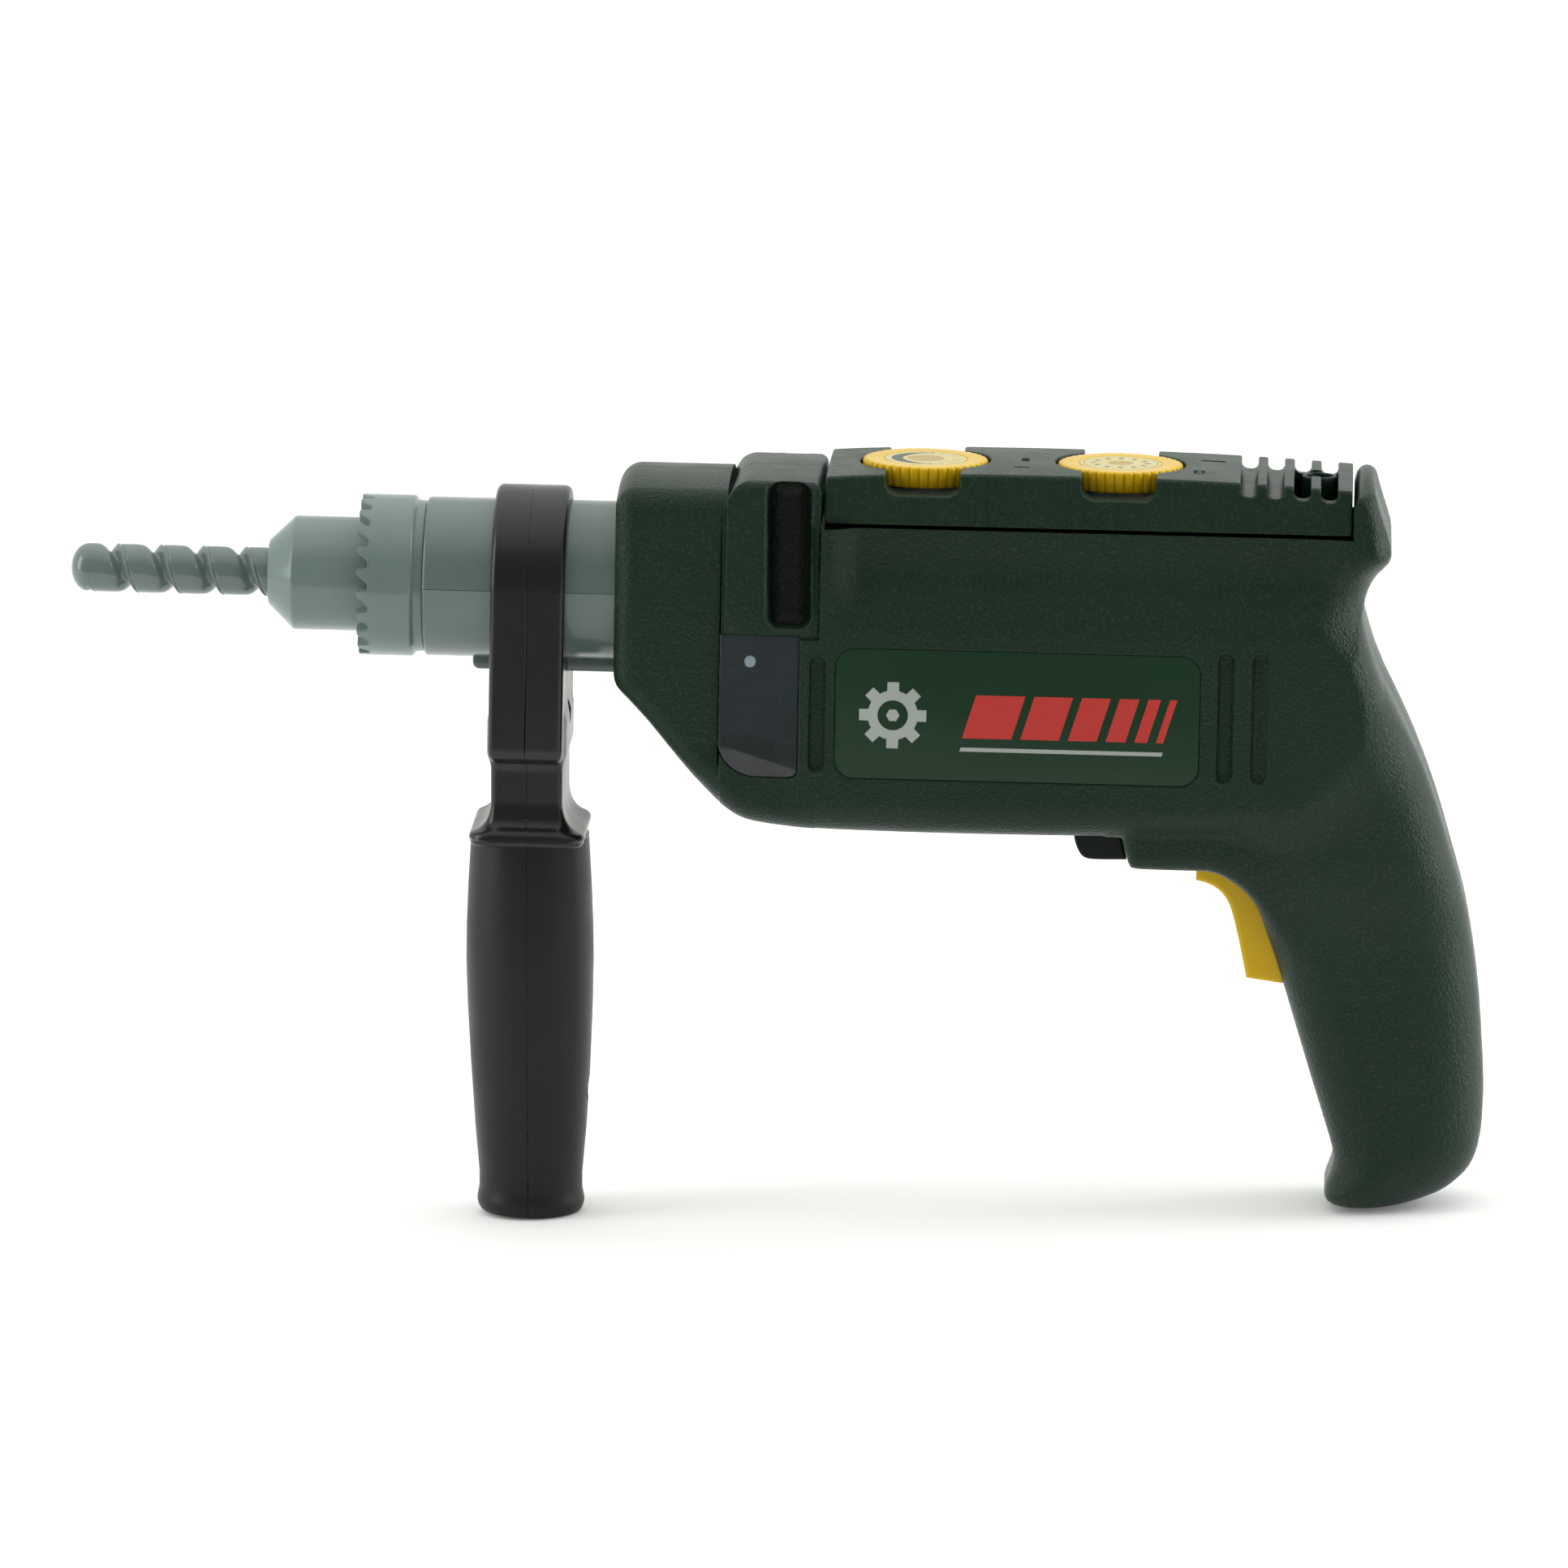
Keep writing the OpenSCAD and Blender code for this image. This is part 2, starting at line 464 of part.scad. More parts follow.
module gearbox_rear_plate() {
  color([0.25, 0.25, 0.25]) difference() {
    cross(5.2, 7.2) rrect(-17.2, 97, 17.2, 159.5, 3);
    xcyl(5, 0, 10);
    xcyl(1.25, 0, 10, 0, idler_z);
    xcyl(3.1, 0, 10, 0, motor_z);
    for (p = post_yz) xcyl(1.3, 0, 10, p[0], p[1], 32);
  }
}
module gearbox_screws() { color(steel) for (p = post_yz) union() { xcyl(2.2, 7.25, 8.6, p[0], p[1], 32); xcyl(1.1, -3.9, 7.3, p[0], p[1], 32); } }

// ---- side handle ----
handle_profile = [[0, 0], [9.6, 0], [11.4, 0.5], [12.3, 2], [12.2, 3.6], [11.9, 5.5], [12.1, 9], [12.7, 19.7], [13.4, 34], [14, 50],
  [14.2, 58], [14.1, 66], [13.7, 76], [13.2, 84.4], [0, 84.4]];
module handle_band2d() {
  ro = collar_r + clamp_t;
  union() { translate([0, axis_z]) circle(r = ro, $fn = 96); translate([-ro, 107.7]) square([2*ro, axis_z - 107.7]); }
}
module handle_solid() {
  // clamp band with neck
  cross(handle_x - clamp_w/2, handle_x + clamp_w/2) handle_band2d();
  box([handle_x - 8.1, -14.3, 86], [handle_x + 8.1, 14.3, 112]);
  // flared flange
  box([handle_x - 9.4, -15.3, 88], [handle_x + 9.4, 15.3, 91.6]);
  box([handle_x - 10.8, -16.4, 86.5], [handle_x + 10.8, 16.4, 90]);
  translate([handle_x, 0, 84.4]) linear_extrude(height = 3.8) translate([-12.7, -17.3]) translate([4, 4]) offset(r = 4, $fn = 24) square([17.4, 26.6]);
  translate([handle_x, 0, 0]) rotate_extrude($fn = 96) polygon(handle_profile);
}
module handle_hollow() {
  ri = collar_r + clamp_t - wall;
  difference() {
    union() {
      box([handle_x - 6.1, -ri, 109.8], [handle_x + 6.1, ri, 122.4]);
      box([handle_x - 6.1, -12.1, 88], [handle_x + 6.1, 12.1, 110]);
      translate([handle_x, 0, 2.4]) rotate_extrude($fn = 64) polygon([[0, 0], [9.4, 0], [10, 10], [11.6, 50], [11.2, 79.6], [0, 79.6]]);
      zcyl(6, 80, 90, handle_x, 0);
    }
    // ring wall under the collar stays solid
    xcyl(collar_r + clamp_t, -90, -30, 0, axis_z, 64);
    for (s = [115, 28]) xcyl(3.4, -90, -30, 0, s);
  }
}
module handle_cuts() {
  xcyl(collar_r + clamp_gap, -90, -30, 0, axis_z, 96);
  // keyway for the collar's rib
  box([-90, -2.6, axis_z - 20.8], [-30, 2.6, axis_z - 15]);
}
module side_handle_front() {
  color(black) difference() {
    intersection() { handle_solid(); box([handle_x - 30, -30, -1], [handle_x, 30, 180]); }
    handle_hollow();
    handle_cuts();
    for (z = [115, 28]) xcyl(1.25, handle_x - 6, handle_x + 1, 0, z);
  }
}
module side_handle_rear() {
  color(black) difference() {
    intersection() { handle_solid(); box([handle_x, -30, -1], [handle_x + 30, 30, 180]); }
    handle_hollow();
    handle_cuts();
    for (z = [115, 28]) { xcyl(1.7, handle_x - 1, handle_x + 20, 0, z); xcyl(2.6, handle_x + 3, handle_x + 20, 0, z); }
  }
}
module handle_screws() {
  color(steel) for (z = [115, 28]) difference() {
    union() { xcyl(2.4, handle_x + 3, handle_x + 4.6, 0, z); xcyl(1.25, handle_x - 5.9, handle_x + 3.1, 0, z); }
    box([handle_x + 3.9, -1.6, z - 0.35], [handle_x + 6, 1.6, z + 0.35]);
    box([handle_x + 3.9, -0.35, z - 1.6], [handle_x + 6, 0.35, z + 1.6]);
  }
}

// ---- trigger and switches ----
module trigger() {
  color(yellow) difference() {
    side(-6, 6) union() {
      polygon([[94.9, 83.2], [94.9, 80.5], [97.4, 80], [99.9, 78.7], [101.7, 76.4], [102.9, 73.4], [106.1, 59.5], [114.2, 58.9],
        [117.2, 61.4], [113.4, 71.5], [109.4, 79.6], [104.4, 86], [101.6, 91], [96.4, 91], [94.9, 88]]);
      translate(pivot) circle(r = 3.6, $fn = 40);
    }
    ycyl(1.5 + run_gap, -10, 10, pivot[0], pivot[1]);
  }
}
module trigger_pin() { color(steel) ycyl(1.5, -9, 9, pivot[0], pivot[1]); }
module trigger_spring() {
  color(steel) tube([for (i = [0:60]) [116.7 + 6.9*i/60, 2.4*cos(i*36), 66 + 2.4*sin(i*36)]], 0.35, 6);
}
module trigger_switch() {
  color(black) union() { box([124.8, -4, 58], [135, 4, 76]); box([124, -3.4, 62.4], [124.9, 3.4, 69.6]); xcyl(1, 122.9, 125, 0, 73.5, 24); }
}
module direction_switch() {
  color(black) union() {
    side(-8, 8) polygon([[67.3, 92.2], [67.6, 89.8], [68.4, 87.4], [69.4, 86.1], [70.7, 85.6], [78.6, 85.7], [76.9, 92.2]]);
    box([70.6, -3, 92.1], [75.4, 3, 97.4]);
    box([68.8, -8.5, 95.1], [77.2, 8.5, 96.4]);
  }
}
module direction_contact() { color(steel) difference() { box([67, -11.5, 98], [79, 11.5, 103]); box([70, -6.5, 97], [76, 6.5, 99.4]); } }

// ---- power and electronics ----
module battery_tray() {
  color([0.2, 0.22, 0.2]) difference() {
    box([46.4, -17, 139.8], [107.2, 17, 159.9]);
    for (s = [-1, 1]) {
      xcyl(7.4, 48, 105.6, s*cell_y, cell_z, 48);
      box([48, s*cell_y - 7.4, cell_z], [105.6, s*cell_y + 7.4, 170]);
    }
    // gap for the strip that joins the two front contacts
    box([47.9, -3, 146.6], [48.7, 3, 152.2]);
  }
}
module battery_cells() {
  color([0.2, 0.35, 0.6]) for (s = [-1, 1]) union() {
    xcyl(7.1, s < 0 ? cell_x + 1 : cell_x, s < 0 ? cell_x + 50.5 : cell_x + 49.5, s*cell_y, cell_z, 48);
    xcyl(2.7, s < 0 ? cell_x : cell_x + 49.4, s < 0 ? cell_x + 1.1 : cell_x + 50.5, s*cell_y, cell_z, 32);
  }
}
module battery_contacts() {
  color(steel) {
    union() { for (s = [-1, 1]) xcyl(6.2, 48.1, 48.5, s*cell_y, cell_z, 40); box([48.1, -6, 147], [48.5, 6, 151.8]); }
    for (s = [-1, 1]) xcyl(5.2, 105.1, 105.5, s*cell_y, cell_z, 40);
    for (i = [0:2]) translate([102.3 + 1.1*i, -cell_y, cell_z]) rotate([0, 90, 0]) rotate_extrude($fn = 32) translate([2.8 + 0.5*i, 0]) circle(r = 0.35, $fn = 16);
  }
}
module circuit_board() {
  color([0.1, 0.35, 0.2]) union() {
    box([46, -15, 127], [92, 15, 128.6]);
    box([54, -5, 128.5], [66, 5, 130.4]);
    zcyl(3, 128.5, 134.5, 74, 6, 32);
    zcyl(2.2, 128.5, 133.5, 82, -7, 32);
    box([84, 2, 128.5], [88, 8, 131]);
  }
}
module speaker() { color(black) union() { ycyl(13, 17.6, 19.2, 104, 121); ycyl(8, 12.4, 17.7, 104, 121); ycyl(4, 10, 12.5, 104, 121); } }
// leads: board to motor, tray to board, board to trigger switch
module wiring() {
  color([0.6, 0.1, 0.1]) {
    tube([[34.6, 5, 110], [38, 5, 111], [43, 6, 115], [48, 8, 121], [52, 9, 125], [53, 9, 126.8]], 0.6, 8);
    tube([[34.6, -5, 110], [38, -5, 111], [43, -6, 115], [48, -8, 121], [52, -9, 125], [53, -9, 126.8]], 0.6, 8);
    tube([[92.2, -10, 127.8], [97, -10, 127], [104, -9, 122], [112, -7, 112], [120, -4, 100], [127, -2, 88], [130, -1, 80], [130.4, 0, 76.2]], 0.6, 8);
    tube([[107.4, -9, 150], [111, -9, 149], [113, -10, 144], [112, -11, 138], [106, -12, 133], [98, -12, 129.5], [92.2, -12, 128]], 0.6, 8);
  }
}

left_housing();
right_housing();
housing_screws();
top_cover();
cover_screw();
front_dial();
rear_dial();
front_dial_sticker();
rear_dial_sticker();
gear_window();
lamp();
left_label();
right_label();
collar_upper();
collar_lower();
chuck_ring();
chuck_nose();
drill_bit();
spindle_shaft();
front_bush();
rear_bush();
output_gear();
idler_gear();
idler_axle();
motor_pinion();
motor_shaft();
motor_armature();
motor_magnets();
motor_can();
motor_end_cap();
gearbox_front_plate();
gearbox_rear_plate();
gearbox_screws();
side_handle_front();
side_handle_rear();
handle_screws();
trigger();
trigger_pin();
trigger_spring();
trigger_switch();
direction_switch();
direction_contact();
battery_tray();
battery_cells();
battery_contacts();
circuit_board();
speaker();
wiring();
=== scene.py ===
import math
import time

import bpy
import numpy as np
from mathutils import Matrix, Vector


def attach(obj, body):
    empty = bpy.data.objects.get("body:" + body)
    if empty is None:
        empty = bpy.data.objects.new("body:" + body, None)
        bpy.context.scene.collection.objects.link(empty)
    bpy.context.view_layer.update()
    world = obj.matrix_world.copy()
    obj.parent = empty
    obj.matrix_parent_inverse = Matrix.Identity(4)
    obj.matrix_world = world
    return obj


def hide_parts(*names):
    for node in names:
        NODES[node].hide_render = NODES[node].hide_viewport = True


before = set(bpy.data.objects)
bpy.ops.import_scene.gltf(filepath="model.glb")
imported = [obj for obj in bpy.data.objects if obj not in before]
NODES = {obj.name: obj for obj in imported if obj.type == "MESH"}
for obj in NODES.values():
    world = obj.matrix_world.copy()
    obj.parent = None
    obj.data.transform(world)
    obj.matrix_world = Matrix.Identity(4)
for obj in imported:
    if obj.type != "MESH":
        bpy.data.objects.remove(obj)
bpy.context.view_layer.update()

MM = 0.001
AX = 145.0  # height of the chuck axis, mm


# ---------------------------------------------------------------- numbers
def ss(x, a, b):
    t = np.clip((x - a) / (b - a), 0.0, 1.0)
    return t * t * (3 - 2 * t)


def rmax(a, b, r):
    return np.minimum(np.maximum(a, b), -r) + np.hypot(np.maximum(a + r, 0), np.maximum(b + r, 0))


def rmin(a, b, r):
    return -rmax(-a, -b, r)


def smin(a, b, k):
    h = np.maximum(k - np.abs(a - b), 0) / k
    return np.minimum(a, b) - h * h * k / 4


def rext(d2, v, r):
    """rounded extrusion: d2 distance in the side view, v distance past the side face"""
    a, b = d2 + r, v + r
    return np.minimum(np.maximum(a, b), 0) + np.hypot(np.maximum(a, 0), np.maximum(b, 0)) - r


def curve(points, step=1.6):
    """closed smooth line through the points; a point with a third value is a sharp corner"""
    p = [np.array(q[:2], float) for q in points]
    c = [len(q) > 2 for q in points]
    n, out = len(p), []
    for i in range(n):
        a, b, d, e = p[i - 1], p[i], p[(i + 1) % n], p[(i + 2) % n]
        l0, l1, l2 = np.linalg.norm(b - a), np.linalg.norm(d - b), np.linalg.norm(e - d)
        m1 = (d - b) if c[i] else (d - a) / (l0 + l1) * l1
        m2 = (d - b) if c[(i + 1) % n] else (e - b) / (l1 + l2) * l1
        k = max(1, int(round(l1 / step))) if not (c[i] and c[(i + 1) % n]) else 1
        for j in range(k):
            t = j / k
            out.append((2 * t**3 - 3 * t**2 + 1) * b + (t**3 - 2 * t**2 + t) * m1
                       + (-2 * t**3 + 3 * t**2) * d + (t**3 - t**2) * m2)
    return np.array(out)


def poly(points, X, Z):
    """signed distance to a closed outline on the grid X, Z"""
    P = np.asarray(points, float)
    X, Z = np.broadcast_arrays(X, Z)
    best = np.full(X.shape, 1e9)
    inside = np.zeros(X.shape, bool)
    for i in range(len(P)):
        ax, az = P[i - 1]
        bx, bz = P[i]
        ex, ez = bx - ax, bz - az
        wx, wz = X - ax, Z - az
        t = np.clip((wx * ex + wz * ez) / (ex * ex + ez * ez + 1e-12), 0, 1)
        np.minimum(best, (wx - ex * t) ** 2 + (wz - ez * t) ** 2, out=best)
        if az != bz:
            crosses = (az > Z) != (bz > Z)
            inside ^= crosses & (X < ax + (Z - az) * ex / ez)
    d = np.sqrt(best)
    return np.where(inside, -d, d)


def rbox(X, Z, x0, z0, x1, z1, r):
    a = np.abs(X - (x0 + x1) / 2) - (x1 - x0) / 2 + r
    b = np.abs(Z - (z0 + z1) / 2) - (z1 - z0) / 2 + r
    return np.minimum(np.maximum(a, b), 0) + np.hypot(np.maximum(a, 0), np.maximum(b, 0)) - r


def axis(lo, hi, h, fine=()):
    out, x = [lo], lo
    while x < hi:
        step = h
        for a, b, g in fine:
            if a <= x < b:
                step = min(step, g)
            elif x < a < x + step:
                step = min(step, max(a - x, g))
        x += step
        out.append(x)
    return np.array(out)


# ---------------------------------------------------------------- surface from a distance field
def contour(f, xs, ys, zs, lam=0.12):
    """dual contouring of f < 0 on a grid of uneven steps: points and quads"""
    f = f.astype(np.float32)
    f[np.abs(f) < 1e-5] = 1e-5
    co = [np.asarray(v, float) for v in (xs, ys, zs)]
    grad = np.gradient(f, *[v.astype(np.float32) for v in co])
    S = f < 0
    n = np.array(f.shape)
    cells = [m - 1 for m in f.shape]
    P, N, C, Q, SGN = [], [], [], [], []
    base = 0
    for a in range(3):
        b, c = (a + 1) % 3, (a + 2) % 3
        lo = [slice(None)] * 3
        hi = [slice(None)] * 3
        lo[a], hi[a] = slice(0, -1), slice(1, None)
        idx = np.argwhere(S[tuple(lo)] != S[tuple(hi)])
        if not len(idx):
            continue
        ok = (idx[:, b] > 0) & (idx[:, c] > 0) & (idx[:, b] < n[b] - 1) & (idx[:, c] < n[c] - 1)
        idx = idx[ok]
        i0 = tuple(idx.T)
        j = idx.copy()
        j[:, a] += 1
        i1 = tuple(j.T)
        f0, f1 = f[i0].astype(float), f[i1].astype(float)
        t = f0 / (f0 - f1)
        p = np.stack([co[k][idx[:, k]] for k in range(3)], 1)
        p[:, a] += t * (co[a][j[:, a]] - co[a][idx[:, a]])
        g = np.stack([(1 - t) * grad[k][i0] + t * grad[k][i1] for k in range(3)], 1)
        g /= np.linalg.norm(g, axis=1)[:, None] + 1e-12
        quad = []
        for db, dc in ((-1, -1), (0, -1), (0, 0), (-1, 0)):
            m = idx.copy()
            m[:, b] += db
            m[:, c] += dc
            quad.append((m[:, 0].astype(np.int64) * cells[1] + m[:, 1]) * cells[2] + m[:, 2])
        quad = np.stack(quad, 1)
        flip = ~S[i0]
        quad[flip] = quad[flip][:, ::-1]
        P.append(p)
        N.append(g)
        Q.append(quad)
    P, N, Q = np.concatenate(P), np.concatenate(N), np.concatenate(Q)
    ids, inv = np.unique(Q.ravel(), return_inverse=True)
    inv = inv.reshape(-1)
    who = np.repeat(np.arange(len(P)), 4)
    m = len(ids)
    cnt = np.bincount(inv, minlength=m).astype(float)
    mass = np.stack([np.bincount(inv, P[who, k], m) for k in range(3)], 1) / cnt[:, None]
    nn = N[who]
    d = ((P[who] - mass[inv]) * nn).sum(1)
    A = np.zeros((m, 3, 3))
    B = np.zeros((m, 3))
    for r in range(3):
        B[:, r] = np.bincount(inv, nn[:, r] * d, m)
        for s in range(r, 3):
            A[:, r, s] = A[:, s, r] = np.bincount(inv, nn[:, r] * nn[:, s], m)
        A[:, r, r] += lam
    off = np.linalg.solve(A, B[:, :, None])[:, :, 0]
    cx, rest = np.divmod(ids, cells[1] * cells[2])
    cy, cz = np.divmod(rest, cells[2])
    V = mass + off
    for k, ci in enumerate((cx, cy, cz)):
        V[:, k] = np.clip(V[:, k], co[k][ci], co[k][ci + 1])
    return V, inv.reshape(-1, 4)


def make_mesh(name, V, F, smooth=True, angle=34):
    me = bpy.data.meshes.new(name)
    F = np.asarray(F)
    me.vertices.add(len(V))
    me.vertices.foreach_set("co", (np.asarray(V, float) * MM).astype(np.float32).ravel())
    me.loops.add(F.size)
    me.loops.foreach_set("vertex_index", F.astype(np.int32).ravel())
    me.polygons.add(len(F))
    me.polygons.foreach_set("loop_start", np.arange(0, F.size, F.shape[1], dtype=np.int32))
    me.update(calc_edges=True)
    me.validate()
    ob = bpy.data.objects.new(name, me)
    bpy.context.scene.collection.objects.link(ob)
    return ob


def finish_shading(ob, angle=34):
    me = ob.data
    me.shade_smooth()
    me.set_sharp_from_angle(angle=math.radians(angle))
    return ob


def apply_modifiers(ob):
    dg = bpy.context.evaluated_depsgraph_get()
    me = bpy.data.meshes.new_from_object(ob.evaluated_get(dg))
    old = ob.data
    ob.modifiers.clear()
    ob.data = me
    bpy.data.meshes.remove(old)
    return ob


def thin(ob, ratio):
    if ratio < 1:
        m = ob.modifiers.new("thin", "DECIMATE")
        m.ratio = ratio
        apply_modifiers(ob)
    return ob


def join(objs, name):
    """one object from several, keeping each one's material slots"""
    import bmesh
    bm = bmesh.new()
    mats = []
    for o in objs:
        at = {}
        for i, m in enumerate(o.data.materials):
            if m not in mats:
                mats.append(m)
            at[i] = mats.index(m)
        before = len(bm.faces)
        bm.from_mesh(o.data)
        bm.faces.ensure_lookup_table()
        for fc in bm.faces[before:]:
            fc.material_index = at.get(fc.material_index, 0)
    me = bpy.data.meshes.new(name)
    bm.to_mesh(me)
    bm.free()
    for m in mats:
        me.materials.append(m)
    for o in objs:
        bpy.data.objects.remove(o)
    ob = bpy.data.objects.new(name, me)
    bpy.context.scene.collection.objects.link(ob)
    return ob


def arcs(points, n=5):
    """polyline with each corner (u, v, r) rounded by an arc"""
    out = []
    m = len(points)
    for i, q in enumerate(points):
        r = q[2] if len(q) > 2 else 0
        b = np.array(q[:2], float)
        if r <= 0 or i in (0, m - 1):
            out.append(b)
            continue
        a, c = np.array(points[i - 1][:2], float), np.array(points[i + 1][:2], float)
        u, v = (a - b) / np.linalg.norm(a - b), (c - b) / np.linalg.norm(c - b)
        th = math.acos(max(-1, min(1, float(u @ v))))
        if th > 3.1:
            out.append(b)
            continue
        cut = min(r / math.tan(th / 2), 0.49 * np.linalg.norm(a - b), 0.49 * np.linalg.norm(c - b))
        rr = cut * math.tan(th / 2)
        centre = b + (u + v) / np.linalg.norm(u + v) * rr / math.sin(th / 2)
        p0, p1 = b + u * cut - centre, b + v * cut - centre
        a0 = math.atan2(p0[1], p0[0])
        da = (math.atan2(p1[1], p1[0]) - a0 + math.pi) % (2 * math.pi) - math.pi
        for k in range(n + 1):
            t = a0 + da * k / n
            out.append(centre + rr * np.array([math.cos(t), math.sin(t)]))
    return np.array(out)


def loft(rings, closed_ends=True, loop=False):
    """quads over rings[m, n, 3]; ends shut by a centre point"""
    R = np.asarray(rings, float)
    m, n = R.shape[:2]
    V = R.reshape(-1, 3)
    F = []
    k = np.arange(n)
    k1 = (k + 1) % n
    for i in range(m if loop else m - 1):
        j = (i + 1) % m
        F.append(np.stack([i * n + k, i * n + k1, j * n + k1, j * n + k], 1))
    F = np.concatenate(F)
    if closed_ends and not loop:
        V = np.concatenate([V, R[0].mean(0)[None], R[-1].mean(0)[None]])
        c0, c1 = m * n, m * n + 1
        caps = np.concatenate([np.stack([k1, k, np.full(n, c0), np.full(n, c0)], 1),
                               np.stack([(m - 1) * n + k, (m - 1) * n + k1, np.full(n, c1), np.full(n, c1)], 1)])
        return V, F, caps[:, :3]
    return V, F, None


def build(name, V, quads, tris=None, angle=34, flip=False):
    import bmesh
    faces = [tuple(q) for q in np.asarray(quads).tolist()]
    if tris is not None:
        faces += [tuple(t) for t in np.asarray(tris).tolist()]
    me = bpy.data.meshes.new(name)
    me.from_pydata((np.asarray(V) * MM).tolist(), [], faces)
    bm = bmesh.new()
    bm.from_mesh(me)
    bmesh.ops.remove_doubles(bm, verts=bm.verts, dist=1e-7)
    bmesh.ops.recalc_face_normals(bm, faces=bm.faces)
    bm.to_mesh(me)
    bm.free()
    me.validate()
    ob = bpy.data.objects.new(name, me)
    bpy.context.scene.collection.objects.link(ob)
    finish_shading(ob, angle)
    return ob


def turned(name, profile, n=128, z=AX, angle=30, rfun=None, loop=False):
    """profile of (x, r) about the chuck axis"""
    th = np.arange(n) * 2 * math.pi / n
    rings = []
    for x, r in profile:
        xx, rr = (np.full(n, x), np.full(n, r)) if rfun is None else rfun(x, r, th)
        rings.append(np.stack([xx, rr * np.cos(th), z + rr * np.sin(th)], 1))
    V, q, t = loft(rings, not loop, loop)
    return build(name, V, q, t, angle)


# ---------------------------------------------------------------- materials
class Tree:
    def __init__(self, name):
        self.m = bpy.data.materials.new(name)
        self.m.use_nodes = True
        self.t = self.m.node_tree
        self.t.nodes.clear()
        self.out = self.add("ShaderNodeOutputMaterial")
        self.b = self.add("ShaderNodeBsdfPrincipled")
        self.link(self.b.outputs[0], self.out.inputs[0])
        self.co = self.add("ShaderNodeTexCoord").outputs["Object"]

    def add(self, kind, **kw):
        n = self.t.nodes.new(kind)
        for k, v in kw.items():
            setattr(n, k, v)
        return n

    def link(self, a, b):
        self.t.links.new(a, b)

    def val(self, sock, v):
        if hasattr(v, "is_linked") or isinstance(v, bpy.types.NodeSocket):
            self.link(v, sock)
        else:
            sock.default_value = v

    def math(self, op, a, b=0.0, c=0.0, clamp=False):
        n = self.add("ShaderNodeMath", operation=op, use_clamp=clamp)
        self.val(n.inputs[0], a)
        self.val(n.inputs[1], b)
        self.val(n.inputs[2], c)
        return n.outputs[0]

    def noise(self, scale, detail=2.0, rough=0.5, vec=None):
        n = self.add("ShaderNodeTexNoise")
        self.link(vec or self.co, n.inputs["Vector"])
        n.inputs["Scale"].default_value = scale
        n.inputs["Detail"].default_value = detail
        n.inputs["Roughness"].default_value = rough
        return n.outputs["Fac"]

    def ramp(self, fac, a, b, lo=0.0, hi=1.0):
        n = self.add("ShaderNodeMapRange", interpolation_type="SMOOTHSTEP")
        self.val(n.inputs["Value"], fac)
        n.inputs["From Min"].default_value = a
        n.inputs["From Max"].default_value = b
        n.inputs["To Min"].default_value = lo
        n.inputs["To Max"].default_value = hi
        return n.outputs["Result"]

    def mix(self, fac, a, b):
        n = self.add("ShaderNodeMix", data_type="RGBA")
        self.val(n.inputs["Factor"], fac)
        for s, v in ((n.inputs[6], a), (n.inputs[7], b)):
            if isinstance(v, bpy.types.NodeSocket):
                self.link(v, s)
            else:
                s.default_value = (*v[:3], 1)
        return n.outputs[2]

    def xyz(self):
        n = self.add("ShaderNodeSeparateXYZ")
        self.link(self.co, n.inputs[0])
        return n.outputs[0], n.outputs[1], n.outputs[2]

    def set(self, name, v):
        s = self.b.inputs[name]
        if isinstance(v, bpy.types.NodeSocket):
            self.link(v, s)
        else:
            s.default_value = v

    def bump(self, layers, last=None):
        """layers of (height socket, depth in metres)"""
        for h, d in layers:
            n = self.add("ShaderNodeBump")
            n.inputs["Strength"].default_value = 1.0
            n.inputs["Distance"].default_value = d
            self.link(h, n.inputs["Height"])
            if last is not None:
                self.link(last, n.inputs["Normal"])
            last = n.outputs[0]
        if last is not None:
            self.link(last, self.b.inputs["Normal"])
        return last


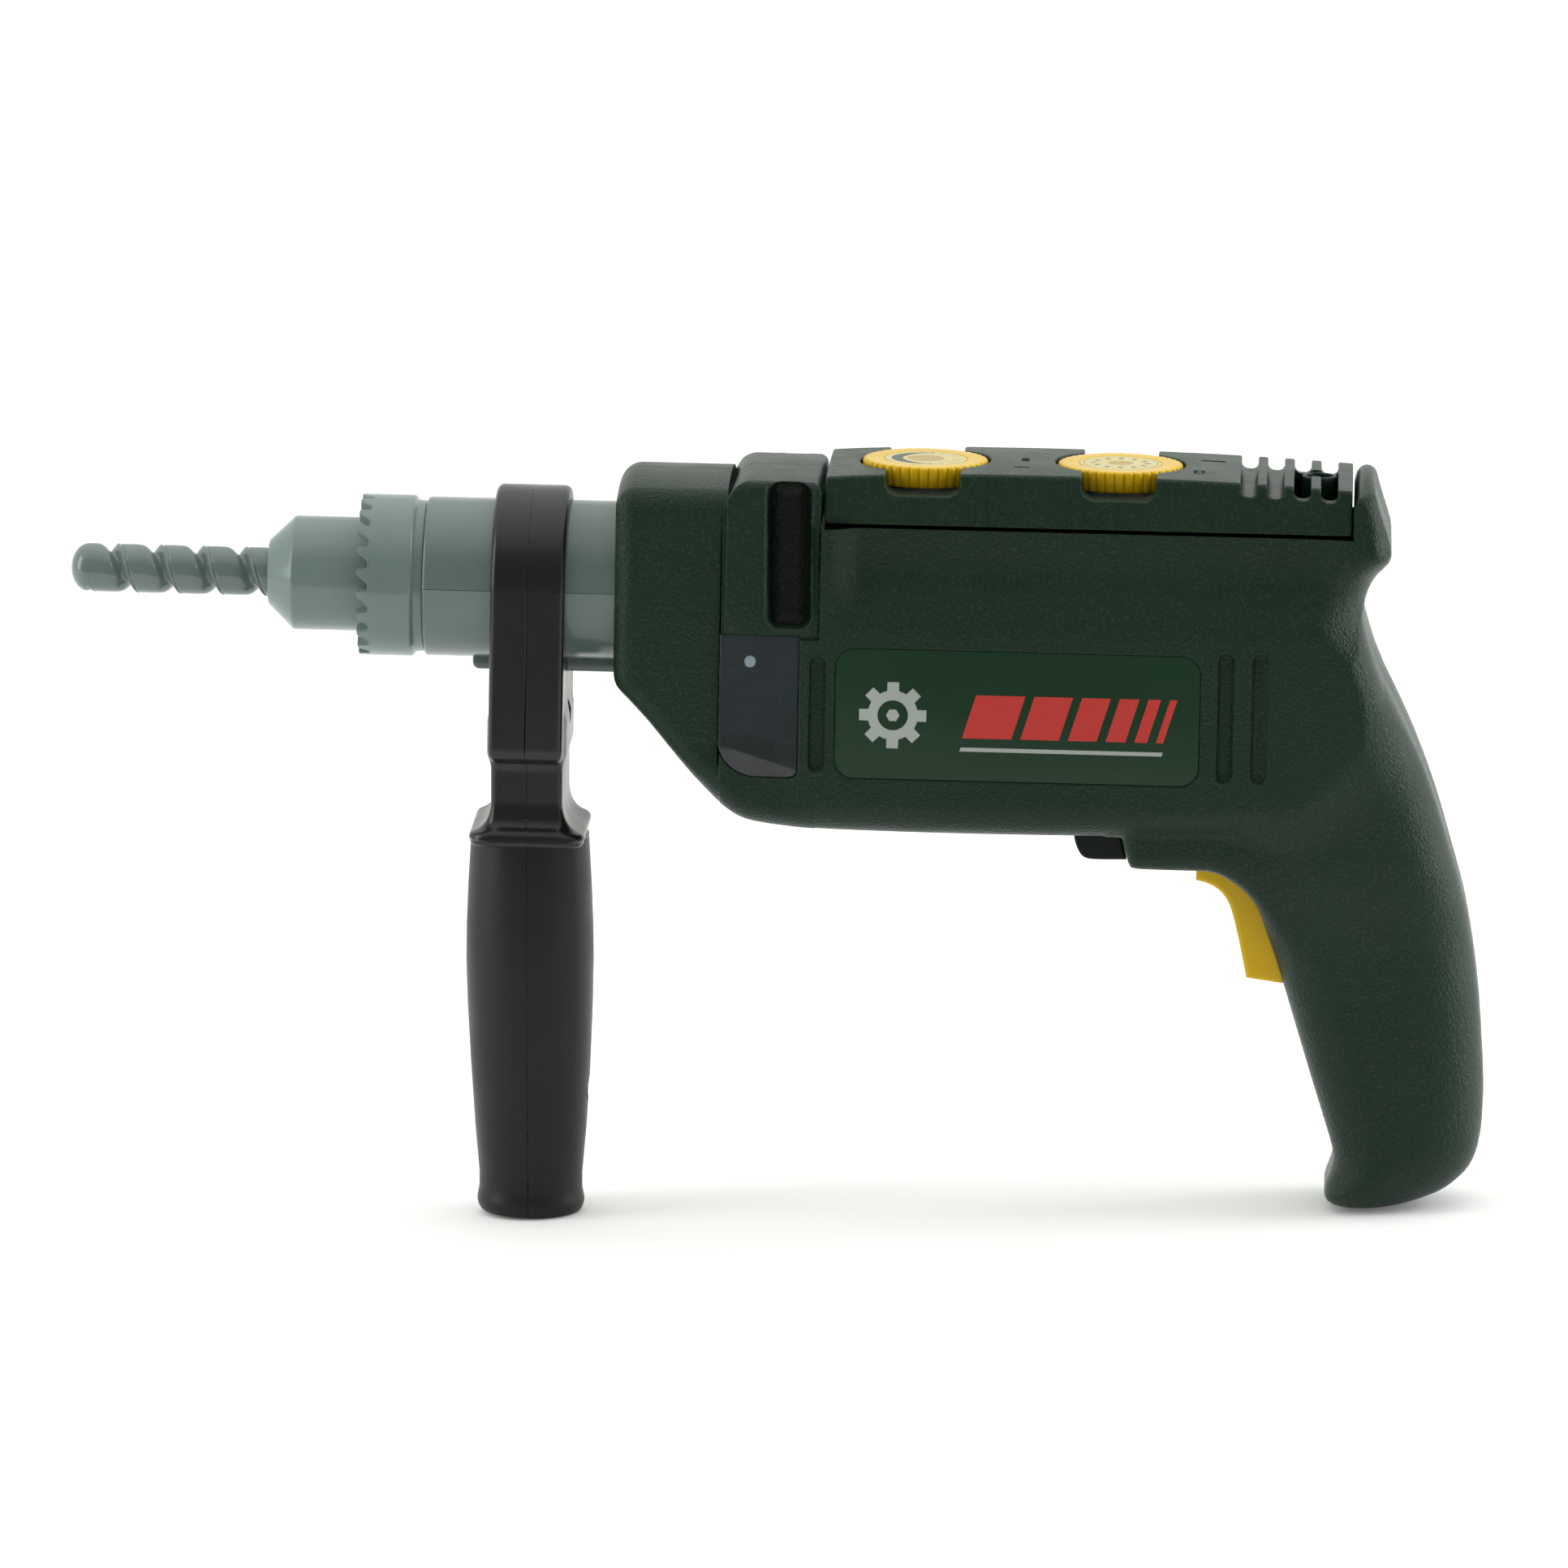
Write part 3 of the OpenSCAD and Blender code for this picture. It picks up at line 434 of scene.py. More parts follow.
def plastic(name, col, rough=0.4, grain=0.0, size=0.00042, spec=0.5, mottle=0.05, specks=0.0, speck_col=(0.35, 0.38, 0.35), coat=0.0,
            wave=0.0, rvar=0.05, sss=0.0, painted_glint=None):
    t = Tree(name)
    big = t.noise(28, 3, 0.55)
    fine = t.noise(1 / (size * 2.2), 2, 0.6)
    c = t.mix(t.ramp(big, 0.3, 0.7), [v * (1 - mottle) for v in col], [min(1, v * (1 + mottle)) for v in col])
    if specks:
        v = t.add("ShaderNodeTexVoronoi")
        t.link(t.co, v.inputs["Vector"])
        v.inputs["Scale"].default_value = 95
        sep = t.add("ShaderNodeSeparateColor")
        t.link(v.outputs["Color"], sep.inputs[0])
        dot = t.math("MULTIPLY", t.ramp(v.outputs["Distance"], 0.022, 0.012), t.ramp(sep.outputs[0], 0.90, 0.93))
        c = t.mix(t.math("MULTIPLY", dot, specks), c, speck_col)
    # painted light on the shell: highlight specks, shade in the grip recess and a shadow in the gap under the cover
    if painted_glint:
        # painted highlight: light specks in the colour where light would catch the moulded grain
        c = t.mix(t.ramp(fine, 0.52, 0.74), c, painted_glint)
        # painted shade: the long grip recess of the gear section is coloured near black
        x, y, z = t.xyz()
        painted_recess_shade = t.math("MULTIPLY", t.ramp(t.math("ABSOLUTE", y), 0.0226, 0.0214), t.math("MULTIPLY", t.ramp(t.math("ABSOLUTE", t.math("SUBTRACT", x, 0.0022)), 0.0053, 0.0047), t.ramp(t.math("ABSOLUTE", t.math("SUBTRACT", z, 0.1554)), 0.0165, 0.0158)))
        c = t.mix(t.math("MULTIPLY", painted_recess_shade, 0.8), c, (0.0016, 0.0024, 0.0020))
        # painted shadow: the joint under the cover is coloured near black and loses its reflection
        painted_gap_shadow = t.math("MULTIPLY", t.ramp(t.math("ABSOLUTE", t.math("SUBTRACT", z, 0.16237)), 0.00050, 0.00040), t.ramp(t.math("ABSOLUTE", t.math("SUBTRACT", x, 0.0688)), 0.0590, 0.0586))
        c = t.mix(painted_gap_shadow, c, (0.0012, 0.0016, 0.0014))
        spec = t.math("SUBTRACT", spec, t.math("MULTIPLY", painted_gap_shadow, spec))
    t.set("Base Color", c)
    r = t.ramp(t.noise(60, 3, 0.6), 0.25, 0.75, rough - rvar, rough + rvar)
    t.set("Roughness", r)
    t.set("Specular IOR Level", spec)
    t.set("Coat Weight", coat)
    if sss:
        t.set("Subsurface Weight", sss)
        t.b.inputs["Subsurface Radius"].default_value = (0.0012, 0.0008, 0.0003)
        t.b.inputs["Subsurface Scale"].default_value = 1.0
    layers = []
    if wave:
        layers.append((t.noise(70, 2, 0.5), wave))
    if grain:
        layers.append((fine, grain))
    t.bump(layers)
    return t.m


def metal(name, col, rough=0.3, brush=(1, 60, 60), depth=0.00001, tarnish=0.15):
    t = Tree(name)
    mp = t.add("ShaderNodeMapping")
    t.link(t.co, mp.inputs["Vector"])
    mp.inputs["Scale"].default_value = brush
    br = t.noise(40, 3, 0.6, mp.outputs[0])
    c = t.mix(t.ramp(t.noise(120, 3), 0.35, 0.75), col, [v * (1 - tarnish) for v in col])
    t.set("Base Color", c)
    t.set("Metallic", 1.0)
    t.set("Roughness", t.ramp(br, 0.3, 0.7, rough - 0.08, rough + 0.1))
    t.bump([(br, depth)])
    return t.m


# the green shell carries painted highlight specks, painted shade in the grip recess and a painted shadow in the gap
# under the cover
GREEN = plastic("moulded_green", (0.0074, 0.0238, 0.0122), rough=0.33, grain=0.00036, size=0.00030, spec=0.18, painted_glint=(0.021, 0.036, 0.027), mottle=0.06, specks=0.35, wave=0.00005)
GREEN_IN = plastic("moulded_green_inside", (0.010, 0.026, 0.015), rough=0.6, grain=0.00003, size=0.0005, spec=0.3)
YELLOW = plastic("moulded_yellow", (0.66, 0.405, 0.003), rough=0.25, grain=0.00001, size=0.0006, spec=0.22, mottle=0.03, sss=0.04)
GREY = plastic("moulded_grey", (0.108, 0.152, 0.143), rough=0.17, grain=0.000006, size=0.0009, spec=0.55, mottle=0.05, wave=0.00003, specks=0.25, speck_col=(0.5, 0.52, 0.5))
GREY_CHUCK = plastic("moulded_grey_chuck", (0.146, 0.201, 0.190), rough=0.17, grain=0.000006, size=0.0009, spec=0.5, mottle=0.05, wave=0.00003, specks=0.25, speck_col=(0.5, 0.52, 0.5))
GREY_BIT = plastic("moulded_grey_gloss", (0.118, 0.158, 0.153), rough=0.13, grain=0.000004, size=0.0012, spec=0.6, mottle=0.04, wave=0.00002)
BLACK = plastic("moulded_black", (0.0060, 0.0070, 0.0069), rough=0.27, grain=0.00002, size=0.0004, spec=0.4, mottle=0.12, specks=0.5, speck_col=(0.25, 0.26, 0.25))
BLACK_GRIP = plastic("moulded_black_grip", (0.0078, 0.0092, 0.0090), rough=0.42, grain=0.00003, size=0.00045, spec=0.24, mottle=0.08, specks=0.5, speck_col=(0.25, 0.26, 0.25))
SWITCH = plastic("moulded_black_switch", (0.004, 0.0085, 0.0065), rough=0.38, grain=0.00002, size=0.0004, spec=0.15)


# ---------------------------------------------------------------- housing
FRONT = curve([(-36.8, 220, 1), (-36.8, 127.0), (-36.0, 124.2), (-33.4, 121.4), (-28.4, 116.0), (-19.4, 105.2), (-14.2, 99.7),
               (-11.0, 97.0), (-8.4, 95.4), (-5.4, 94.4), (0.8, 93.5), (8.1, 92.9), (22.6, 92.6), (40, 92.5), (60, 92.5, 1), (60, 220, 1)])
BODY = curve([(0.8, 220, 1), (0.8, 93.5, 1), (8.1, 92.9), (22.6, 92.6), (40.8, 92.5), (58.9, 92.6), (77.4, 92.8), (95, 93.1), (110, 94.2),
              (118, 96.5), (125, 100.5), (130, 106.5), (133.5, 115), (135.2, 123), (134.9, 128.2), (133, 133.7), (131.2, 139.2),
              (130.2, 143.3), (130.6, 147.5), (131.7, 150.5), (133.3, 153.3), (135.4, 155.9), (136.1, 158.3), (135.5, 161.4), (133.7, 166.9),
              (132.1, 172.4, 1), (118.3, 220, 1)])
LOWER = curve([(70, 112, 1), (74, 92.7, 1), (77.4, 92.7, 1), (79.0, 87.0), (79.6, 85.8), (81.0, 85.5), (94.6, 85.4, 1), (96.8, 85.4), (98.9, 84.9), (101.6, 83.5), (103.8, 82.0),
               (105.3, 80.7), (106.6, 79.3), (107.7, 77.8), (108.9, 75.1), (109.9, 72.0), (110.9, 68.8), (113.6, 60.5), (116.6, 51.0), (120.3, 39.4), (124, 28.1), (125.8, 22.5), (126.5, 19.6), (126.3, 16.8),
               (125.4, 14), (124.7, 11.4), (125.3, 8.9), (128.2, 7.5), (133.7, 7.2), (141, 8), (146.5, 9.5), (151.4, 11.6),
               (155, 14.4), (157.3, 17.1), (158.8, 20.5), (159.7, 25.6), (160, 31.2), (160, 36.8), (159.4, 45.2), (158.4, 56.4),
               (156.8, 67.5), (154.5, 78.6), (151.2, 89.7), (147.7, 100.7), (143.4, 111.8), (138.3, 122.7), (135.5, 128.2), (133, 133.7), (131.2, 139.2, 1), (112, 138, 1), (98, 122, 1)])
SCREWS = [(-23, 117), (-23, 163), (44, 103), (86, 97), (123, 140), (140, 91), (146, 45), (140, 19)]
WINDOW = [(-12.9, 137.6), (-12.9, 113)] + [(-4.2 - 8.7 * math.cos(math.radians(a)), 113 - 7.6 * math.sin(math.radians(a))) for a in range(6, 91, 6)] \
    + [(3 + 0.0, 105.4)] + [(3.1 + 1.8 * math.sin(math.radians(a)), 107.2 - 1.8 * math.cos(math.radians(a))) for a in range(15, 91, 15)] + [(4.9, 137.6)]


def groove(d, depth, w, rim=0.28):
    e = np.clip(-d / w, 0, 1)
    cut = depth * np.sqrt(np.maximum(1 - (1 - e) ** 2, 0))
    lip = rim * np.exp(-((d - 0.42) / 0.34) ** 2)
    return lip - np.where(d < 0, cut, 0)


def housing(side):
    coarse = 1.0
    h = 0.6 * coarse
    g = 0.27 * coarse
    xs = axis(-37.6, 161.2, h, [(-37.6, -36, 0.4 * coarse), (-14.2, -11.4, 0.22 * coarse), (-4, 12.6, g), (12.6, 14, g), (93.6, 95, g), (97, 110.8, g), (126.4, 129.4, g)])
    zs = axis(6.2, 175.6, h, [(104.8, 108, g), (132, 141.2, g), (161, 164, g), (167.5, 176, g)])
    ys = np.concatenate([[-0.5, -0.25], axis(0, 25.4, 0.75 * coarse, [(0, 0.5, 0.16 * coarse), (5.8, 7, 0.4), (14, 20, 0.45 * coarse), (20, 25.4, 0.3 * coarse)])])
    X, Z = xs[:, None], zs[None, :]
    F2, B2, L2 = poly(FRONT, X, Z), poly(BODY, X, Z), poly(LOWER, X, Z)
    low = ss(Z, 112, 104)
    up = ss(Z, 136.75, 137.05)
    # half widths in side view
    hwN = 22 - 1.0 * np.clip((Z - 140) / 26, 0, 1) + 1.55 * ss(X, -31, -12) * low
    hwG = 23.6 - 2.3 * np.clip((Z - 142) / 28, 0, 1) + 0.9 * ss(X, 1, 8.5) * (1 - up)
    scoop = 4.0 * ss(Z, 137.6, 153.5) * (1 - 0.12 * ss(Z, 154, 163)) * ss(X, 10.6, 18.6) * (0.35 + 0.65 * ss(X, 134, 116))
    hwU = 24.5 - scoop - 0.9 * ss(Z, 156, 170) * ss(X, 120, 128)
    hwU = hwU - 0.9 * ss(X, 8.5, 1) * (1 - up)
    # plain widths, kept for the inside
    cN, cG, cU = hwN.copy(), hwG.copy(), hwU.copy()
    lean = 0.6 * (172.8 - Z) / 33.2
    slot = rbox(X - lean, Z, -2.75, 139.4, 6.75, 171.6, 2.7)
    hwG = hwG + groove(slot, 4.5, 3.9, 0.34)
    hwU = np.where((up > 0) & (X < 9.15), np.minimum(hwU, hwG - 0.7), hwU)
    hwG = hwG - 0.35 * up * np.exp(-((X + 12.1) / 0.2) ** 2)
    slot2 = rbox(X, Z, 7.2, 107.2, 10.9, 133.0, 1.5)
    s2 = groove(slot2, 1.5, 1.2, 0.3)
    hwG, hwU = hwG + s2, hwU + s2
    for x0 in (98.2, 105.9):
        hwU = hwU + groove(rbox(X, Z, x0, 106.9, x0 + 3.6, 136.1, 1.6), 1.5, 1.3, 0.32)
    lab = rbox(X, Z, 13.0, 105.7, 94.5, 135.3, 4.5)
    hwU = hwU - 0.4 * ss(lab, 0.06, -0.14)
    hwG = hwG - 0.55 * np.exp(-((Z - 136.9) / 0.25) ** 2) * ss(X, 4.6, 5.2)
    y = ys[None, None, :]
    X3, Z3 = X[:, :, None], Z[:, :, None]

    def shape(N2, G2, U2):
        v = lambda w: y - w[:, :, None]
        f2, b2, l2 = F2[:, :, None], B2[:, :, None], L2[:, :, None]
        # nose
        n = rext(f2, v(N2), 4.5 + 3.0 * ss(Z3, 112, 100))
        n = rmax(n, Z3 - (171.1 - 2.7 * (y / 20) ** 2), 4.6)
        n = rmax(n, X3 + 12.95 - 6 * ss(Z3, 108, 104) - 1.2 * ss(y, 21.2, 20.4), 0.12)
        # gear section
        gfront = rmax(-12.65 - X3, (X3 + 12.75) * -0.860 + (Z3 - 166.2) * 0.511, 0.8)
        s = rmax(rmax(gfront, X3 - 9.1, 0.25), v(G2), 0.4)
        s = rmax(s, Z3 - (172.35 - 0.7 * (np.abs(y) / 20.5) ** 2), 2.3)
        s = rmax(s, rext(f2, y - 24.6, 8.0), 0.4)
        # middle
        r = (8.5 + 4.5 * ss(X3, 110, 126)) * (1 - 0.62 * ss(Z3, 150, 160))
        u = rext(b2, v(U2), r)
        u = np.maximum(u, np.minimum(127.5 + 0.22 * np.maximum(Z3 - 168.5, 0) - X3, Z3 - 162.1))
        u = rmax(u, Z3 - (174.6 - 2.8 * (y / 20) ** 2), 1.5)
        ch = (X3 - (131.6 + 0.22 * (174 - Z3))) * 0.78 + (y - 20.6) * 0.62 - 5 * ss(Z3, 158.5, 153)
        u = rmax(u, ch, 0.6)
        # grip and trigger block
        mid = 136 + (60 - Z3) * 0.2
        t = ss(X3, mid - 12, mid + 12)
        rl = (3.2 + 8.3 * ss(Z3, 80, 60)) * (1 - t) + 13.5 * t
        hwl = 17.3 + 3.0 * ss(Z3, 66, 90) + 0.9 * ss(Z3, 21, 12) * ss(X3, 146, 134) + 2.6 * ss(Z3, 84, 122) * ss(X3 + 0.4 * (Z3 - 110), 106, 138)
        l = rext(l2, y - hwl, rl)
        k = 1.4 + 9.0 * ss(X3, 97, 122)
        u = np.minimum(np.minimum(n, s), u)
        out = smin(u, l, k)
        # the blend stays inside the side outline and the widest point
        out = rmax(out, np.minimum(np.minimum(f2, b2), l2), 0.05 + 1.4 * np.maximum(np.minimum(u, l) - out, 0))
        return rmax(out, y - 24.46, 0.5)

    f = shape(hwN, hwG, hwU)
    core = shape(cN, cG, cU)
    det = np.where(X < -12.9, hwN, np.where(X < 9.1, hwG, np.where(Z > 92, hwU, 40)))
    cav = np.maximum(core + 2.2, y - det[:, :, None] + 2.2)
    del core
    boss = np.full(F2.shape, 1e3)
    for sx, sz in SCREWS:
        boss = np.minimum(boss, np.hypot(X - sx, Z - sz) - 3.6)
    boss = np.minimum(boss, np.hypot(X - 119.6, Z - 158) - 3.8)
    cav = np.maximum(cav, -boss[:, :, None])
    f = np.maximum(f, -cav)
    del cav
    # opening for the collar, trigger and direction switch
    ra = np.hypot(y, Z3 - AX)
    f = np.maximum(f, -np.maximum(ra - 18.2, X3 + 33.2))
    f = np.maximum(f, -np.maximum(ra - 19.0, np.abs(X3 + 32.8) - 0.95))
    trig = poly([(93.8, 79), (93.8, 92.2), (112, 92.2), (126, 62), (118, 57.0), (104, 57.0)], X, Z)
    f = np.maximum(f, -np.maximum(trig[:, :, None], y - 6.4))
    f = np.maximum(f, -np.maximum(rbox(X, Z, 70.2, 88, 75.8, 97, 0.3)[:, :, None], y - 5.9))
    # seam between the halves
    f = rmax(f, np.broadcast_to(-y, f.shape), 0.24)
    if side < 0:
        w = poly(WINDOW, X, Z)
        f = np.maximum(f, -np.maximum(w[:, :, None] - 0.05, 21.8 - y))
        f = np.maximum(f, -np.maximum(w[:, :, None] + 1.4, 15 - y))
        for sx, sz in SCREWS:
            f = np.maximum(f, -np.maximum(np.hypot(X - sx, Z - sz)[:, :, None] - 1.25, y - 11))
    else:
        for sx, sz in SCREWS:
            d = np.hypot(X - sx, Z - sz)[:, :, None]
            f = np.maximum(f, -np.maximum(d - 3.3, 8 - y))
            f = np.maximum(f, -(d - 1.7))
        for x0 in (99.0, 106.7):
            f = np.maximum(f, -np.maximum(rbox(X, Z, x0, 110, x0 + 2, 132, 0.9)[:, :, None], 15 - y))
    V, Q = contour(f, xs, zs, ys)
    V = V[:, [0, 2, 1]]
    V[:, 1] *= side
    if side > 0:
        Q = Q[:, ::-1]
    ob = make_mesh("left_shell" if side < 0 else "right_shell", V, Q)
    print("housing", side, f.shape, len(Q))
    thin(ob, 0.5)
    finish_shading(ob, 38)
    return ob


T0 = time.time()
parts = {}
for sgn, node in ((-1, "left_housing"), (1, "right_housing")):
    ob = housing(sgn)
    ob.data.materials.append(GREEN)
    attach(ob, "drill_body")
    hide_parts(node)
    parts[node] = ob
    print(node, round(time.time() - T0, 1), "s")


def side_outline(points):
    return np.array(points, float)


def grid(xr, zr, yr, h, fx=(), fz=(), fy=()):
    c = 1.0
    sc = lambda f: [(a, b, g * c) for a, b, g in f]
    xs, zs, ys = axis(*xr, h * c, sc(fx)), axis(*zr, h * c, sc(fz)), axis(*yr, h * c, sc(fy))
    return xs, zs, ys, xs[:, None, None], zs[None, :, None], ys[None, None, :]


def solid(name, f, xs, zs, ys, ratio=0.5, angle=36, flip=False):
    V, Q = contour(f, xs, zs, ys)
    V = V[:, [0, 2, 1]]
    ob = make_mesh(name, V, Q)
    print(name, f.shape, len(Q))
    thin(ob, ratio)
    return finish_shading(ob, angle)


def done(ob, body, node, slot, *mats):
    for m in mats:
        ob.data.materials.append(m)
    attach(ob, body)
    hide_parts(*([node] if isinstance(node, str) else node))
    return ob


# ---------------------------------------------------------------- top cover
DIALS = (31.5, 75.1)
SCREW_X = 119.6


def top_cover():
    xs, zs, ys, X, Z, Y = grid((9.2, 127.6), (161.9, 175.6), (-21.6, 21.6), 0.42, [(9.2, 12, 0.25), (101, 127.6, 0.3)], [(161.9, 175.6, 0.3)])
    crown = np.interp(X, [9, 10.3, 17, 24, 33, 42, 52, 62, 73, 84, 92, 100.3, 113, 127.5],
                      [173.1, 173.3, 173.75, 174.1, 174.42, 174.58, 174.66, 174.68, 174.66, 174.6, 174.45, 174.2, 173.7, 172.9])
    top = crown - 0.32 * (np.abs(Y) / 19.5) ** 2.2
    v = np.abs(Y) - (21.15 - 1.7 * (Z - 162.7) / 10.6)
    f = rmax(v * 0.985, Z - top, 0.9)
    f = rmax(f, 9.7 - X + 0.10 * np.maximum(Z - 170, 0) + 0.10 * np.abs(Y / 19) ** 3, 0.5)
    f = rmax(f, X - 127.05, 0.3)
    f = rmax(f, 162.8 - Z, 0.12)
    cav = np.maximum(np.maximum(v + 1.9, Z - top + 1.9), np.maximum(12.0 - X, X - 125.0))
    hollow = cav
    for cx in DIALS:
        r = np.hypot(X - cx, Y)
        hollow = np.maximum(hollow, -np.maximum(r - 16.2, 167.6 - Z))
        hollow = np.maximum(hollow, -np.maximum(rbox(X, Z, cx - 9.9, 167.6, cx + 9.9, 190, 3.5), 12 - np.abs(Y)))
    w = Z - top
    hollow = np.maximum(hollow, -np.maximum(np.abs(X - 113) - 12.3, -(w + 4.4)))
    rb = np.hypot(X - SCREW_X, Y)
    f = np.maximum(f, -hollow)
    boss = rmax(rmax(rb - 3.9, Z - 172.9, 0.3), 163.2 - Z, 0.2)
    for cx in DIALS:
        r = np.hypot(X - cx, Y)
        well = np.maximum(r - 14.62, 169.2 - Z)
        notch = np.maximum(rbox(X, Z, cx - 8.3, 169.2, cx + 8.3, 190, 2.9), 9 - np.abs(Y))
        f = rmax(f, -np.minimum(well, notch), 0.38)
    # louvres
    for i, x0 in enumerate((102.1, 108.0, 114.0, 120.0)):
        n = rbox(X, w, x0, -2.9, x0 + 3.75, 9, 1.5)
        f = rmax(f, -n, 0.45)
        if i > 1:
            n = np.maximum(rbox(X, w, x0, -12, x0 + 3.75, 9, 1.0), np.abs(Y) - 16.6)
            f = np.maximum(f, -n)
    f = np.maximum(f, -np.maximum(rb - 4.3, 170.0 - Z))
    f = np.minimum(f, boss)
    f = np.maximum(f, -np.maximum(rb - 3.0, 168.5 - Z))
    f = np.maximum(f, 1.6 - rb)
    # small moulded marks on the deck
    for x0, x1, y0, y1, e in ((51.6, 55.0, -9.6, -8.9, 9), (53.0, 54.6, -1.5, 2.6, 9), (91.6, 94.0, -10.4, -7.0, 0.3), (94.0, 96.6, -9.0, -8.6, 9), (93.2, 98.6, 6.4, 7.6, 9)):
        m = np.maximum(np.abs(X - (x0 + x1) / 2) - (x1 - x0) / 2, np.abs(Y - (y0 + y1) / 2) - (y1 - y0) / 2)
        f = np.maximum(f, -np.maximum(np.abs(m + e) - e, -(w + 0.45)))
    return done(solid("battery_cover", f, xs, zs, ys, 0.45), "drill_body", "top_cover", "green_shell", GREEN)


# ---------------------------------------------------------------- side handle
HX = -55.5


def side_handle(sgn):
    lo, hi = (HX - 14.9, HX + 1.5) if sgn < 0 else (HX - 1.5, HX + 14.9)
    xs, zs, ys, X, Z, Y = grid((lo, hi), (-0.6, 167), (-21.8, 21.8), 0.5, [(HX - 1.2, HX + 1.2, 0.2), (HX - 9.6, HX - 7.5, 0.3), (HX + 7.3, HX + 9, 0.3)], [(-0.6, 9, 0.3), (84.5, 93, 0.3)])
    # the grip leans a little
    X = X - np.interp(Z, [0, 28, 56, 86, 110, 165], [1.0, 0.6, 0.0, -0.4, -0.7, -0.6])
    dx = np.abs(X - HX)
    rr = np.hypot(Y, Z - AX)
    band2 = np.minimum(rr - 21.1, rbox(Y, Z, -21.1, 106.4, 21.1, 147.0, 3.2))
    band = rext(band2, dx - 8.3, 1.5)
    neck = rext(rbox(Y, Z, -14.4, 88.0, 14.4, 116, 1.0), dx - 8.05, 1.6)
    # flared flange over the grip
    q1 = np.maximum(dx - 12.7 + 4.2, 0)
    q2 = np.maximum(np.abs(Y) - 17.3 + 4.2, 0)
    plate2 = np.minimum(np.maximum(dx - 12.7 + 4.2, np.abs(Y) - 17.3 + 4.2), 0) + np.hypot(q1, q2) - 4.2
    plate = rext(plate2, np.abs(Z - 87.85) - 1.25, 0.8)
    f = smin(np.minimum(band, 1e3), neck, 3.0)
    f = np.where(Z > 87.85, smin(f, plate, 7.5), np.minimum(f, plate))
    prof = arcs([(0, 0), (9.4, 0, 0.8), (11.6, 0.6, 1.2), (12.35, 2.6, 0.8), (11.95, 5.6, 2), (12.1, 9), (12.7, 19.7), (13.4, 34), (13.95, 48), (14.2, 58), (14.1, 66), (13.75, 76), (13.3, 85.5), (0, 85.5)], 4)
    zz = np.unique(prof[1:-1, 1])
    rz = np.interp(Z[0, :, 0], [0, 0.25, 0.7, 1.4, 2.4, 3.2, 4.2, 5.6, 9, 19.7, 34, 48, 58, 66, 76, 85.5],
                   [10.3, 11.0, 11.45, 11.85, 12.1, 12.1, 11.9, 11.65, 11.65, 12.6, 13.5, 14.15, 14.4, 14.3, 13.9, 13.35])[None, :, None]
    grip = rmax(rmax(np.hypot(X - HX, Y) - rz, -Z, 0.25), Z - 87.4, 0.3)
    f = np.minimum(f, grip)
    f = rmax(f, -(rr - 18.2), 0.35)
    f = np.maximum(f, -np.maximum(np.abs(Y) - 2.6, np.maximum(124.2 - Z, Z - 140)))
    # hollow inside
    cav = np.minimum(np.maximum(np.maximum(dx - 6.1, np.abs(Y) - 12.1), np.abs(Z - 98.5) - 11.5), np.maximum(np.hypot(X - HX, Y) - rz + 2.2, np.abs(Z - 42.5) - 39.5))
    for z in (115, 28):
        rs = np.hypot(Y, Z - z)
        cav = np.maximum(cav, 3.4 - rs)
    f = np.maximum(f, -cav)
    for z in (115, 28):
        rs = np.hypot(Y, Z - z)
        if sgn > 0:
            f = np.maximum(f, -np.maximum(rs - 2.6, HX + 3 - X))
            f = np.maximum(f, 1.7 - rs)
        else:
            f = np.maximum(f, -np.maximum(rs - 1.3, HX - 6 - X))
    f = f - 0.09 * np.exp(-((X - HX) / 0.16) ** 2)
    f = rmax(f, (X - HX) if sgn < 0 else (HX - X), 0.03)
    ob = solid("side_grip_front" if sgn < 0 else "side_grip_rear", f, xs, zs, ys, 0.45)
    node = "side_handle_front" if sgn < 0 else "side_handle_rear"
    me = ob.data
    me.materials.append(BLACK)
    me.materials.append(BLACK_GRIP)
    idx = np.zeros(len(me.polygons), np.int32)
    cz = np.zeros(len(me.polygons) * 3)
    me.polygons.foreach_get("center", cz)
    idx[cz.reshape(-1, 3)[:, 2] < 0.0865] = 1
    me.polygons.foreach_set("material_index", idx)
    return done(ob, "side_handle", node, "black_handle")


# ---------------------------------------------------------------- collar and chuck
def cut_at(ob, z, keep_up, fill=True):
    import bmesh
    bm = bmesh.new()
    bm.from_mesh(ob.data)
    g = bm.verts[:] + bm.edges[:] + bm.faces[:]
    r = bmesh.ops.bisect_plane(bm, geom=g, plane_co=(0, 0, z * MM), plane_no=(0, 0, 1), clear_outer=not keep_up, clear_inner=keep_up)
    edges = [e for e in bm.edges if e.is_boundary]
    bmesh.ops.holes_fill(bm, edges=edges, sides=0)
    bmesh.ops.recalc_face_normals(bm, faces=bm.faces)
    bm.to_mesh(ob.data)
    bm.free()
    finish_shading(ob, 30)
    return ob


